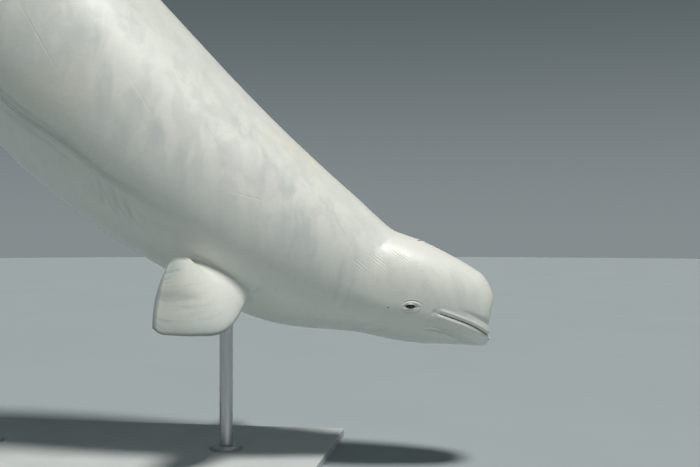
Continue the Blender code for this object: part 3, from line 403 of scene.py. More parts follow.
eyeLook = {"at": 0.286, "tilt": 14.0, "radius": 0.0150, "depth": 0.0125, "slit": (0.0140, 0.0068),
           "socket": 0.0176, "gap": 0.0006}
earHole = {"at": 0.350, "angle": 97.6, "radius": 0.0016}
blowhole = {"at": 0.362, "halfWidth": 0.046, "curve": 4.0}
flipper = {"seat": (0.868, 129.0, 0.103, 0.050, -2.0), "middle": (0.7488, -0.2317, 0.6477),
           "lead": ((0.0, 0.082, 0.013, -0.081), (0.15, 0.076, -0.050, -0.121), (0.30, 0.062, -0.098, -0.155),
                    (0.42, 0.042, -0.138, -0.170), (0.60, -0.011, -0.203, -0.170),
                    (0.80, -0.066, -0.275, -0.161), (0.92, -0.098, -0.328, -0.150), (1.0, -0.112, -0.352, -0.131)),
           "trail": ((0.0, -0.076, 0.000, 0.066), (0.15, -0.073, -0.055, 0.070), (0.30, -0.071, -0.110, 0.073),
                     (0.42, -0.068, -0.155, 0.075), (0.60, -0.066, -0.215, 0.077),
                     (0.80, -0.068, -0.268, 0.076), (0.92, -0.073, -0.296, 0.070), (1.0, -0.079, -0.308, 0.058)),
           "thick": ((0.0, 0.092), (0.15, 0.068), (0.30, 0.054), (0.42, 0.045), (0.6, 0.033), (0.8, 0.023),
                     (0.92, 0.015), (1.0, 0.009)),
           "bulge": 0.016, "curl": 0.012, "blend": (0.32, 0.40)}
fluke = {"seat": (3.811, 90.0, 0.107, 0.017, 0.0), "rootOut": 0.0341, "halfSpan": 0.480, "rise": 0.030,
         "sweep": (0.5, 2.2), "blend": (0.25, 0.35),
         "lead": ((0, 3.690), (0.2, 3.735), (0.4, 3.795), (0.6, 3.863), (0.8, 3.944), (0.93, 4.008), (1, 4.056)),
         "trail": ((0, 3.965), (0.08, 4.030), (0.2, 4.086), (0.35, 4.112), (0.6, 4.121), (0.8, 4.113),
                   (0.93, 4.096), (1, 4.079)),
         "thick": ((0, 0.050), (0.2, 0.038), (0.4, 0.030), (0.6, 0.022), (0.8, 0.015), (0.93, 0.010), (1, 0.006))}
tipRound = 0.035  # share of a fin's length over which its tip closes


def eyeFrame(side):
    # centre of the eyeball, and the ways it looks, back along the head and up
    phi = side * math.pi / 2
    axis = facing(eyeLook["at"], phi)
    centre = bodyPoint(eyeLook["at"], phi) - eyeLook["depth"] * axis
    back = bodyPoint(eyeLook["at"] + 0.001, phi) - bodyPoint(eyeLook["at"] - 0.001, phi)
    back = back / np.linalg.norm(back)
    up = np.cross(back, axis) * side
    return centre, axis, back, up / np.linalg.norm(up)


# Loops of the eyelids from the outer crease in: half length, half width, shift along the head, then the height
# over the eye, under it, before it and behind it, and how dark the painted shade along it is
lidFolds = ((0.0375, 0.0250, -0.0040, 0.0003, 0.0002, 0.0000, 0.0000, 0.00),
            (0.0346, 0.0212, -0.0046, -0.0009, -0.0004, -0.0002, 0.0003, 0.16),
            (0.0312, 0.0186, -0.0046, 0.0007, 0.0003, 0.0004, 0.0006, 0.04),
            (0.0276, 0.0160, -0.0034, 0.0018, 0.0012, 0.0007, 0.0009, 0.00),
            (0.0242, 0.0139, -0.0020, 0.0021, 0.0013, 0.0005, 0.0006, 0.06),
            (0.0219, 0.0122, -0.0008, 0.0011, 0.0019, 0.0003, 0.0002, 0.24),
            (0.0197, 0.0105, 0.0000, 0.0029, 0.0028, -0.0010, -0.0010, 0.18))
# Lid lips onto the eyeball: size, lift, and how dark their painted shade is, deepening into the pocket
lidLips = ((1.22, 0.0030, 0.25), (1.08, 0.0022, 0.55), (1.0, 0.0006, 1.0), (1.02, -0.0001, 1.0))
lidCorner = {"depth": 0.0013, "width": 0.24, "wrinkle": 0.00040, "count": 13}


def makeLids(hole, side):
    # folds round the eye, the lids, and the pocket behind them; the folds carry painted shade and the pocket is painted
    # near-black as shade
    centre, axis, back, up = eyeFrame(side)
    turn = hole.turn
    tilt = side * math.radians(eyeLook["tilt"])

    beneath = side * np.sin(turn)
    ahead = -np.cos(turn)
    corner = bell(np.arccos(np.clip(ahead, -1, 1)) / lidCorner["width"])
    corner = corner + 0.7 * bell(np.arccos(np.clip(-ahead, -1, 1)) / lidCorner["width"])

    def raised(length, width, shift, over, under, before, behind, shade):
        # a loop with its own height on each side of the eye, cut by a crease at both corners
        s, phi = ovalSpots((hole.spot[0] + shift, hole.spot[1]), turn, length, width, tilt)
        h = over * np.maximum(-beneath, 0) ** 2 + under * np.maximum(beneath, 0) ** 2
        h = h + before * np.maximum(ahead, 0) ** 2 + behind * np.maximum(-ahead, 0) ** 2
        swell = np.clip(h / 0.003, 0, 1)
        h = h - swell * lidCorner["depth"] * corner
        h = h + swell * lidCorner["wrinkle"] * np.sin(lidCorner["count"] * turn) * (0.3 + np.maximum(beneath, 0))
        return bodyPoint(s, phi) + facing(s, phi) * h[:, None]

    def onBall(grow, away):
        a0 = eyeLook["slit"][0] * grow * np.cos(turn)
        b0 = eyeLook["slit"][1] * grow * np.sin(turn)
        a = a0 * math.cos(tilt) - b0 * math.sin(tilt)
        b = a0 * math.sin(tilt) + b0 * math.cos(tilt)
        reach = eyeLook["radius"] + eyeLook["gap"] + away
        h = np.sqrt(np.maximum(reach ** 2 - a * a - b * b, 0.0))
        return centre + np.outer(a, back) - np.outer(side * b, up) + np.outer(h, axis)

    s, phi = ovalSpots((hole.spot[0] - 0.0030, hole.spot[1]), turn, 0.0405, 0.0280, tilt)
    hole.slide(s, phi, 3)
    # the folds' painted shade is strongest above and below the eye
    ring = 0.25 + 0.75 * np.sin(turn) ** 2
    keys = [raised(*fold) for fold in lidFolds] + [onBall(*lip[:2]) for lip in lidLips]
    hole.morph(keys, 3, [fold[-1] * ring for fold in lidFolds] + [lip[2] for lip in lidLips])
    rim = hole.skin.allPoints()[hole.last] - centre
    polar = np.arccos(np.clip(rim @ axis / np.linalg.norm(rim, axis=1), -1, 1))
    way = np.arctan2(rim @ up, rim @ back)
    ways = np.outer(np.cos(way), back) + np.outer(np.sin(way), up)
    # the pocket between the lids and the eyeball, painted near-black as shade
    for share, end in ((0.12, 85.0), (0.55, 85.0), (1.0, 85.0), (1.0, 115.0), (1.0, 145.0)):
        a = polar + (math.radians(end) - polar) * share
        pts = centre + eyeLook["socket"] * (np.outer(np.cos(a), axis) + np.sin(a)[:, None] * ways)
        hole.lay(pts, hole.s, hole.phi, dark=1.0)
    hole.skin.fan(hole.last, centre - eyeLook["socket"] * axis, dark=1.0)


def makePinhole(hole):
    r = earHole["radius"]
    # rings down into the ear hole, painted darker as shade the deeper they lie
    for length, lift, dark in ((3.0, 0.0, 0.0), (2.1, 0.0004, 0.0), (1.5, 0.0005, 0.2), (1.0, -0.0008, 0.9),
                               (0.7, -0.0050, 1.0)):
        s, phi = ovalSpots(hole.spot, hole.turn, r * length, r * length)
        hole.lay(bodyPoint(s, phi) + facing(s, phi) * lift, s, phi, dark=dark)
    hole.skin.fan(hole.last, bodyPoint(*hole.spot) - facing(*hole.spot) * 0.0055, dark=1.0)


def makeBlowhole(hole):
    w, c = blowhole["halfWidth"], blowhole["curve"]
    s, phi = ovalSpots(hole.spot, hole.turn, 0.0200, w * 1.32, 0.0, c * 0.3)
    hole.slide(s, phi, 4)
    keys = []
    for length, wide, lift, bend in ((0.0150, 1.22, 0.0006, 0.5), (0.0105, 1.15, 0.0015, 0.7), (0.0060, 1.07, 0.0013, 0.9),
                                     (0.0030, 1.01, -0.0006, 1.0), (0.0018, 0.98, -0.0040, 1.0),
                                     (0.0014, 0.95, -0.0115, 1.0)):
        s, phi = ovalSpots(hole.spot, hole.turn, length, w * wide, 0.0, c * bend)
        keys.append(bodyPoint(s, phi) + facing(s, phi) * lift)
    # the slit's lips and inside, painted darker as shade going down into it
    hole.morph(keys, 3, (0.0, 0.0, 0.1, 0.6, 1.0, 1.0))
    hole.skin.fan(hole.last, bodyPoint(blowhole["at"] + 0.001, 0.0) - facing(*hole.spot) * 0.0125, dark=1.0)


def tipShrink(t):
    # a fin's thickness falls to nothing over its last stretch, as half a circle
    u = np.clip((t - (1 - tipRound)) / tipRound, 0.0, 1.0)
    return math.sqrt(max(1.0 - u * u, 0.0004))


def flipperSection(turn, t):
    def edgeAt(name, share):
        return np.array([float(through([(p[0], p[k]) for p in flipper[name]], share)) for k in (1, 2, 3)])
    lead, trail = edgeAt("lead", t), edgeAt("trail", t)
    low, high = max(t - 0.04, 0.0), min(t + 0.04, 1.0)
    ahead = edgeAt("lead", high) + edgeAt("trail", high) - edgeAt("lead", low) - edgeAt("trail", low)
    ahead = ahead / np.linalg.norm(ahead)
    chord = trail - lead
    face = np.cross(ahead, chord)
    face = face / np.linalg.norm(face)
    c = (1 + np.cos(turn)) / 2
    fat = np.sin(turn) * (1 - 0.30 * np.cos(turn)) * float(through(flipper["thick"], t)) / 2 * tipShrink(t)
    bulge = flipper["bulge"] * t ** 3 * 4 * c * (1 - c)
    curl = flipper["curl"] * float(step(t, 0.5, 1.1))
    pts = np.array(flipper["middle"]) + lead + np.outer(c, chord)
    return pts + np.outer(bulge, ahead) + np.outer(fat - curl, face)


def flukeSection(turn, t):
    c = (1 + np.cos(turn)) / 2
    fat = np.sin(turn) * (1 - 0.32 * np.cos(turn)) * float(through(fluke["thick"], t)) / 2 * tipShrink(t)
    lead, trail = float(through(fluke["lead"], t)), float(through(fluke["trail"], t))
    y = fluke["rootOut"] + (fluke["halfSpan"] - fluke["rootOut"]) * t
    s = lead + (trail - lead) * c
    return place(fluke["seat"][0], s - fluke["seat"][0], fluke["rise"] * t * t - fat, y)


def makeFin(hole, side, part, section, stations, flukeWay=False):
    # the skin runs on from the body over the fin: out of an oval seat, and along to the tip
    seat = part["seat"]
    spot = (seat[0], math.radians(seat[1]))
    turn = side * hole.turn
    tilt = math.radians(seat[4])
    for grow, steps, soft in ((1.25, 3, 0.3), (1.13, 2, 0.8)):
        s, phi = ovalSpots(spot, turn, seat[2] * grow, seat[3] * grow, tilt)
        hole.slide(s, phi * side, steps)
        for marks in hole.skin.marks["soft"][-steps:]:
            marks[:] = soft
    s, phi = ovalSpots(spot, turn, seat[2], seat[3], tilt)
    root, way = bodyPoint(s, phi), facing(s, phi)
    if flukeWay:
        aft = place(seat[0], 1.0, 0.0, 0.0) - place(seat[0], 0.0, 0.0, 0.0)
        c = (1 + np.cos(turn)) / 2
        way = way + np.outer(part["sweep"][0] + (part["sweep"][1] - part["sweep"][0]) * c, aft)
        way = way / np.linalg.norm(way, axis=1, keepdims=True)
    first, second = section(turn, part["blend"][0]), section(turn, part["blend"][1])
    leave = np.linalg.norm(first - root, axis=1, keepdims=True)
    arrive = (second - first) / np.linalg.norm(second - first, axis=1, keepdims=True) * leave
    flip = np.array([1.0, side, 1.0])
    chord = (1 + np.cos(turn)) / 2
    steps = 10
    for m in range(0, steps + 1):
        t = m / steps
        pts = root * (1 + 2 * t) * (1 - t) ** 2 + way * leave * t * (1 - t) ** 2 * 0.9
        pts = pts + first * t * t * (3 - 2 * t) - arrive * t * t * (1 - t) * 0.9
        share = part["blend"][0] * t
        hole.lay(pts * flip, s, phi, fin=share, chord=chord, soft=max(0.0, 1.0 - t * 2.6))
    for t in stations:
        hole.lay(section(turn, t) * flip, s, phi, fin=t, chord=chord)
    hole.skin.closeEdge(hole.last)


def layRows(skin, rings, half, holes=()):
    cols = fullTurn(half)
    n = len(cols)
    rows = []
    for s in rings:
        pts = bodyPoint(np.full(n, s), cols)
        x = np.full(n, s)
        seam = np.abs(pts - bodyPoint(np.full(n, s), np.sign(cols + 1e-9) * math.pi / 2)).sum(axis=1)
        # painted shade along the parting of the lips, fading out at the mouth's corner
        dark = bell(seam / 0.0042) * (s < 0.21) * (1 - step(x, mouth["corner"][0] - 0.03, mouth["corner"][1]))
        rows.append(skin.add(pts, along=s, around=np.abs(cols), dark=dark))
    keep = np.ones((len(rings) - 1, n), bool)
    for i0, i1, j0, wide in holes:
        keep[i0:i1, [(j0 + k) % n for k in range(wide)]] = False
    grid = np.array(rows)
    a, b = grid[:-1], np.roll(grid, -1, axis=1)[:-1]
    c, d = np.roll(grid, -1, axis=1)[1:], grid[1:]
    skin.faces.append(np.stack((a[keep], b[keep], c[keep]), 1))
    skin.faces.append(np.stack((a[keep], c[keep], d[keep]), 1))
    return rows, cols


def pair(rings, half, s0, s1, deg0, deg1):
    # the same opening on the right and on the left
    n = 2 * (len(half) - 1)
    i0, i1, j0, j1 = near(rings, s0), near(rings, s1), near(half, deg0), near(half, deg1)
    return (i0, i1, j0, j1 - j0), (i0, i1, n - j1, j1 - j0)


def makeSkin():
    skin = SkinMesh()
    # lips, with fewer columns near their tip
    rows, cols = layRows(skin, frontRings[:4], headHalf[::4] + headHalf[-1:] * (len(headHalf) % 4 != 1))
    # painted shade at the tip of the lips, where the parting meets
    skin.fan(rows[0], bodyPoint(0.0, 0.0), along=0.0, around=math.pi / 2, dark=0.9)
    last, lastCols = rows[-1], cols
    rows, cols = layRows(skin, frontRings[4:14], headHalf[::2] + headHalf[-1:] * (len(headHalf) % 2 != 1))
    skin.zipRings(last, lastCols, rows[0], cols)
    last, lastCols = rows[-1], cols
    # head, with its openings for the eyes, the ear holes and the blowhole
    eyes = pair(headRings, headHalf, 0.236, 0.330, 77.5, 102.5)
    ears = pair(headRings, headHalf, 0.3435, 0.3565, 96, 99)
    blowWide = near(headHalf, 24)
    n = 2 * (len(headHalf) - 1)
    blow = (near(headRings, 0.336), near(headRings, 0.390), n - blowWide, 2 * blowWide)
    rows, cols = layRows(skin, headRings, headHalf, (*eyes, *ears, blow))
    skin.zipRings(last, lastCols, rows[0], cols)
    for hole, side in zip(eyes, (1, -1)):
        makeLids(Opening(skin, rows, headRings, cols, hole, (eyeLook["at"], side * math.pi / 2)), side)
    for hole, side in zip(ears, (1, -1)):
        spot = (earHole["at"], side * math.radians(earHole["angle"]))
        makePinhole(Opening(skin, rows, headRings, cols, hole, spot))
    makeBlowhole(Opening(skin, rows, headRings, cols, blow, (blowhole["at"], 0.0)))
    last, lastCols = rows[-1], cols
    # neck, chest and torso, with the flippers
    fins = pair(trunkRings, trunkHalf, 0.735, 1.001, 113, 146)
    rows, cols = layRows(skin, trunkRings, trunkHalf, fins)
    skin.zipRings(last, lastCols, rows[0], cols)
    for hole, side in zip(fins, (1, -1)):
        spot = (flipper["seat"][0], side * math.radians(flipper["seat"][1]))
        stations = spread((0.345, 0.93, 24), (0.93, 0.965, 2), (0.965, 1.0, 6))
        makeFin(Opening(skin, rows, trunkRings, cols, hole, spot), side, flipper, flipperSection, stations)
    last, lastCols = rows[-1], cols
    # tail, with the flukes
    fins = pair(tailRings, tailHalf, 3.67, 3.952, 43, 137)
    rows, cols = layRows(skin, tailRings, tailHalf, fins)
    skin.zipRings(last, lastCols, rows[0], cols)
    for hole, side in zip(fins, (1, -1)):
        spot = (fluke["seat"][0], side * math.radians(fluke["seat"][1]))
        stations = spread((0.28, 0.94, 20), (0.94, 0.965, 1), (0.965, 1.0, 6))
        makeFin(Opening(skin, rows, tailRings, cols, hole, spot), side, fluke, flukeSection, stations, True)
    skin.fan(rows[-1], place(spineLine["length"] - 0.001, 0.0, 0.0, 0.0), along=4.0, around=1.57)
    return skin.finish("skin", rounds=14)


whaleSkin = makeSkin()
print("skin laid out:", len(whaleSkin.data.polygons), "triangles")

# Creases pressed into the skin along lines: each a name, depth, half width, and (distance, degrees) points
creases = {
    "lines": (
        ("nape", 0.0008, 0.009, ((0.458, 6), (0.456, 20), (0.462, 34), (0.470, 46))),
        ("neckRingA", 0.0016, 0.008, ((0.560, 60), (0.545, 78), (0.530, 96), (0.520, 112))),
        ("neckRingB", 0.0014, 0.008, ((0.500, 74), (0.490, 90), (0.486, 106), (0.490, 122))),
        ("throatA", 0.0014, 0.007, ((0.30, 122), (0.34, 131), (0.37, 142), (0.385, 156))),
        ("throatB", 0.0012, 0.007, ((0.36, 120), (0.40, 130), (0.43, 142), (0.445, 158))),
        ("flipperTop", 0.0030, 0.009, ((0.985, 119.5), (0.950, 118.6), (0.90, 118.4), (0.856, 119.6),
                                       (0.815, 121.6), (0.780, 125.5))),
        ("flipperFront", 0.0024, 0.007, ((0.770, 128.5), (0.752, 124.0), (0.742, 119.0))),
        ("flankA", 0.0026, 0.009, ((1.90, 121.5), (1.76, 118.8), (1.625, 115.6), (1.466, 110.6), (1.341, 108.6),
                                   (1.20, 106.4))),
        ("flankB", 0.0020, 0.008, ((1.84, 117.2), (1.72, 114.9), (1.59, 111.6), (1.44, 107.4))),
        ("flankC", 0.0018, 0.008, ((1.80, 124.2), (1.66, 121.0), (1.52, 117.4), (1.40, 115.6))),
        ("bulgeA", 0.0022, 0.008, ((1.345, 112.5), (1.315, 116.5), (1.29, 121.0), (1.275, 125.5))),
        ("bulgeB", 0.0022, 0.008, ((1.29, 111.8), (1.262, 116.0), (1.24, 120.5), (1.226, 125.0))),
        ("bulgeC", 0.0020, 0.008, ((1.235, 111.5), (1.205, 116.0), (1.185, 120.5), (1.172, 124.5))),
        ("navel", 0.0030, 0.010, ((2.02, 180), (2.08, 180))),
        ("bellySlit", 0.0045, 0.008, ((2.50, 180), (2.60, 180), (2.70, 180))),
        ("vent", 0.0035, 0.008, ((2.78, 180), (2.81, 180))),
    ),
    "spacing": 0.003,
}


def makeCreaseLines():
    pts, edges, depth, width = [], [], [], []
    for name, deep, wide, path in creases["lines"]:
        s = np.array([p[0] for p in path])
        deg = np.array([p[1] for p in path])
        for side in (1, -1):
            if side < 0 and abs(deg[0] - 180) < 0.1:
                continue
            rough = bodyPoint(s, np.radians(deg))
            run = np.concatenate(([0.0], np.cumsum(np.linalg.norm(np.diff(rough, axis=0), axis=1))))
            count = max(8, int(run[-1] / creases["spacing"]))
            u = np.linspace(0, run[-1], count)
            line = bodyPoint(through(list(zip(run, s)), u), np.radians(through(list(zip(run, deg)), u)) * side)
            start = len(pts)
            pts += [tuple(p) for p in line]
            edges += [(start + k, start + k + 1) for k in range(count - 1)]
            fade = np.sin(np.linspace(0.02, math.pi - 0.02, count)) ** 0.6
            depth += list(deep * fade)
            width += [wide] * count
    mesh = bpy.data.meshes.new("creaseLines")
    mesh.from_pydata(pts, edges, [])
    for name, values in (("depth", depth), ("width", width)):
        layer = mesh.attributes.new(name, "FLOAT", "POINT")
        layer.data.foreach_set("value", np.array(values, np.float32))
    obj = bpy.data.objects.new("creaseLines", mesh)
    bpy.context.scene.collection.objects.link(obj)
    return obj


class TreeMaker:
    # adds nodes to a tree: a type, its settings, then the values or links of its sockets
    def __init__(self, tree):
        self.tree = tree

    def node(self, kind, settings=None, inputs=None):
        made = self.tree.nodes.new(kind)
        for name, value in (settings or {}).items():
            if name == "stops":
                ramp = made.color_ramp
                while len(ramp.elements) < len(value):
                    ramp.elements.new(0.5)
                for element, (at, colour) in zip(ramp.elements, value):
                    element.position = at
                    element.color = colour
            else:
                setattr(made, name, value)
        for name, value in (inputs or {}).items():
            socket = made.inputs[name]
            if isinstance(value, Field):
                value = value.socket
            if isinstance(value, bpy.types.NodeSocket):
                self.tree.links.new(value, socket)
            else:
                socket.default_value = value
        return made

    def field(self, kind, settings=None, inputs=None, output=0):
        return Field(self, self.node(kind, settings, inputs).outputs[output])


class Field:
    # a socket that can be written in an expression
    def __init__(self, maker, socket):
        self.maker, self.socket = maker, socket

    def calc(self, operation, *others, clamp=False):
        made = self.maker.tree.nodes.new("ShaderNodeMath")
        made.operation = operation
        made.use_clamp = clamp
        for k, value in enumerate(others):
            if isinstance(value, Field):
                self.maker.tree.links.new(value.socket, made.inputs[k])
            else:
                made.inputs[k].default_value = float(value)
        return Field(self.maker, made.outputs[0])

    def __add__(self, other):
        return self.calc("ADD", self, other)

    def __radd__(self, other):
        return self.calc("ADD", other, self)

    def __sub__(self, other):
        return self.calc("SUBTRACT", self, other)

    def __rsub__(self, other):
        return self.calc("SUBTRACT", other, self)

    def __mul__(self, other):
        return self.calc("MULTIPLY", self, other)

    def __rmul__(self, other):
        return self.calc("MULTIPLY", other, self)

    def __truediv__(self, other):
        return self.calc("DIVIDE", self, other)

    def __rtruediv__(self, other):
        return self.calc("DIVIDE", other, self)

    def __pow__(self, other):
        return self.calc("POWER", self, other)

    def __neg__(self):
        return self.calc("MULTIPLY", self, -1.0)

    def size(self):
        return self.calc("ABSOLUTE", self)

    def sine(self):
        return self.calc("SINE", self)

    def kept(self):
        return self.calc("ADD", self, 0.0, clamp=True)

    def bell(self, width):
        t = self / width
        return self.calc("EXPONENT", -(t * t))

    def rise(self, low, high):
        made = self.maker.node("ShaderNodeMapRange", {"interpolation_type": "SMOOTHSTEP"},
                               {"Value": self, "From Min": low, "From Max": high})
        return Field(self.maker, made.outputs[0])


def makePressTree():
    # one tree that pushes the skin in along the lines, with a low roll on both sides
    tree = bpy.data.node_groups.new("creasePress", "GeometryNodeTree")
    for name, kind, value in (("Skin", "NodeSocketGeometry", None), ("Lines", "NodeSocketObject", None),
                              ("Depth", "NodeSocketFloat", 1.0), ("Roll", "NodeSocketFloat", 0.35),
                              ("Finish", "NodeSocketMaterial", None)):
        socket = tree.interface.new_socket(name, in_out="INPUT", socket_type=kind)
        if value is not None:
            socket.default_value = value
    tree.interface.new_socket("Skin", in_out="OUTPUT", socket_type="NodeSocketGeometry")
    maker = TreeMaker(tree)
    entry = maker.node("NodeGroupInput")
    leave = maker.node("NodeGroupOutput")
    source = maker.node("GeometryNodeObjectInfo", {"transform_space": "RELATIVE"}, {"Object": entry.outputs["Lines"]})
    shape = source.outputs["Geometry"]
    away = maker.field("GeometryNodeProximity", {"target_element": "EDGES"}, {0: shape}, "Distance")
    where = maker.node("GeometryNodeInputPosition")
    nearest = maker.node("GeometryNodeSampleNearest", {"domain": "POINT"},
                         {"Geometry": shape, "Sample Position": where.outputs[0]})

    def sampled(name):
        value = maker.node("GeometryNodeInputNamedAttribute", {"data_type": "FLOAT"}, {"Name": name})
        return maker.field("GeometryNodeSampleIndex", {"data_type": "FLOAT", "domain": "POINT"},
                           {"Geometry": shape, "Value": value.outputs[0], "Index": nearest.outputs[0]})
    deep = sampled("depth") * Field(maker, entry.outputs["Depth"])
    wide = sampled("width")
    across = away / wide
    roll = (across - 1.9).bell(0.85) * Field(maker, entry.outputs["Roll"])
    move = deep * (roll - across.bell(1.0))
    normal = maker.node("GeometryNodeInputNormal")
    push = maker.field("ShaderNodeVectorMath", {"operation": "SCALE"},
                       {0: normal.outputs[0], "Scale": move})
    moved = maker.node("GeometryNodeSetPosition", None, {"Geometry": entry.outputs["Skin"], "Offset": push})
    # keeps how far into a crease each point lies, which the skin paint turns into painted shade
    marked = maker.node("GeometryNodeStoreNamedAttribute", {"data_type": "FLOAT", "domain": "POINT"},
                        {"Geometry": moved.outputs[0], "Name": "crease",
                         "Value": across.bell(0.8) * deep / 0.003})
    real = maker.node("GeometryNodeRealizeInstances", None, {"Geometry": marked.outputs[0]})
    painted = maker.node("GeometryNodeSetMaterial", None,
                         {"Geometry": real.outputs[0], "Material": entry.outputs["Finish"]})
    tree.links.new(painted.outputs[0], leave.inputs[0])
    return tree


def settle(obj, tree, values):
    # runs a tree on an object and keeps the result as a plain mesh
    press = obj.modifiers.new(tree.name, "NODES")
    press.node_group = tree
    for item in tree.interface.items_tree:
        if item.in_out == "INPUT" and item.name in values:
            press[item.identifier] = values[item.name]
    bpy.context.view_layer.update()
    made = bpy.data.meshes.new_from_object(obj.evaluated_get(bpy.context.evaluated_depsgraph_get()))
    obj.modifiers.remove(press)
    old = obj.data
    name = old.name
    obj.data = made
    bpy.data.meshes.remove(old)
    made.name = name
    return obj


def newMaterial(name):
    made = bpy.data.materials.new(name)
    made.use_nodes = True
    made.node_tree.nodes.clear()
    maker = TreeMaker(made.node_tree)
    shader = maker.node("ShaderNodeBsdfPrincipled")
    out = maker.node("ShaderNodeOutputMaterial")
    made.node_tree.links.new(shader.outputs[0], out.inputs[0])
    return made, maker, shader


def blend(maker, share, first, second, mode="MIX"):
    # colours through a Mix node
    made = maker.node("ShaderNodeMix", {"data_type": "RGBA", "blend_type": mode})
    for socket, value in ((made.inputs[0], share), (made.inputs[6], first), (made.inputs[7], second)):
        if isinstance(value, Field):
            maker.tree.links.new(value.socket, socket)
        elif isinstance(value, bpy.types.NodeSocket):
            maker.tree.links.new(value, socket)
        else:
            socket.default_value = value
    return made.outputs[2]


def noise(maker, vector, scale, detail=4.0, rough=0.55, warp=0.0):
    return maker.field("ShaderNodeTexNoise", None, {"Vector": vector, "Scale": scale, "Detail": detail,
                                                    "Roughness": rough, "Distortion": warp})


def mapped(maker, vector, scale=(1, 1, 1), turn=(0, 0, 0)):
    made = maker.node("ShaderNodeMapping", None, {"Vector": vector, "Scale": scale, "Rotation": turn})
    return made.outputs[0]


def mark(maker, name):
    made = maker.node("ShaderNodeAttribute", {"attribute_name": name, "attribute_type": "GEOMETRY"})
    return Field(maker, made.outputs["Fac"])


# Skin colours; "deep" is the near-black of the painted shade in the openings and the lips' parting, and "grey" also
# serves the painted dapple and the painted shade in creases and grooves
skinPaint = {"cream": (0.74, 0.745, 0.69, 1), "warm": (0.76, 0.74, 0.63, 1), "grey": (0.40, 0.44, 0.44, 1),
             "edge": (0.20, 0.23, 0.235, 1), "deep": (0.055, 0.05, 0.047, 1), "belly": (0.66, 0.69, 0.66, 1),
             "foldPath": ((1.05, 104.5), (1.229, 106.7), (1.341, 109.0), (1.466, 110.6), (1.625, 116.1),
                          (1.762, 118.8), (1.95, 121.0))}
# Fine lines in the skin: two ends as distance and degrees, half width, then depth of the groove
scars = (((1.93, 77.5), (1.64, 87.5), 0.0016, 0.0), ((1.52, 62.0), (1.30, 70.0), 0.0014, 0.0),
         ((0.98, 74.0), (0.86, 66.0), 0.0013, 0.0), ((1.20, 52.0), (1.06, 60.0), 0.0012, 0.0),
         ((2.30, 70.0), (2.05, 96.0), 0.0016, 0.0), ((0.24, 52.0), (0.30, 40.0), 0.0010, 0.0))
neckFolds = (((0.505, 54.0), (0.405, 61.0), 0.0145, 0.0105, 0.0010),
             ((0.450, 41.0), (0.350, 47.0), 0.0120, 0.0100, 0.0013),
             ((0.540, 66.0), (0.455, 72.0), 0.0120, 0.0100, 0.0008))


def fineLine(along, around, start, end, wide):
    # 1 on a straight line between two points of the skin, fading to 0 beside it and at its ends
    middle = ((start[0] + end[0]) / 2, math.radians((start[1] + end[1]) / 2))
    degree = girthScale(middle) * math.pi / 180
    span, lean = end[0] - start[0], (end[1] - start[1]) * degree
    ds, dd = along - start[0], (around - start[1]) * degree
    t = ((ds * span + dd * lean) / (span * span + lean * lean)).kept()
    off = ((ds - t * span) ** 2 + (dd - t * lean) ** 2) ** 0.5
    return off.bell(wide) * (1 - (t * 2 - 1) ** 2)


def wrinkles(along, around, sway, start, end, wide, pitch):
    # a bundle of wavering lines between two points of the skin, fading out on all sides
    degree = girthScale(((start[0] + end[0]) / 2, math.radians((start[1] + end[1]) / 2))) * math.pi / 180
    span, lean = end[0] - start[0], (end[1] - start[1]) * degree
    reach = math.hypot(span, lean)
    ds, dd = along - (start[0] + end[0]) / 2, (around - (start[1] + end[1]) / 2) * degree
    t = (ds * span + dd * lean) * (1 / reach)
    off = (ds * lean - dd * span) * (1 / reach)
    wave = ((off + sway) * (2 * math.pi / pitch)).sine() * 0.5 + 0.5
    return wave ** 3 * off.bell(wide) * t.bell(reach * 0.36)


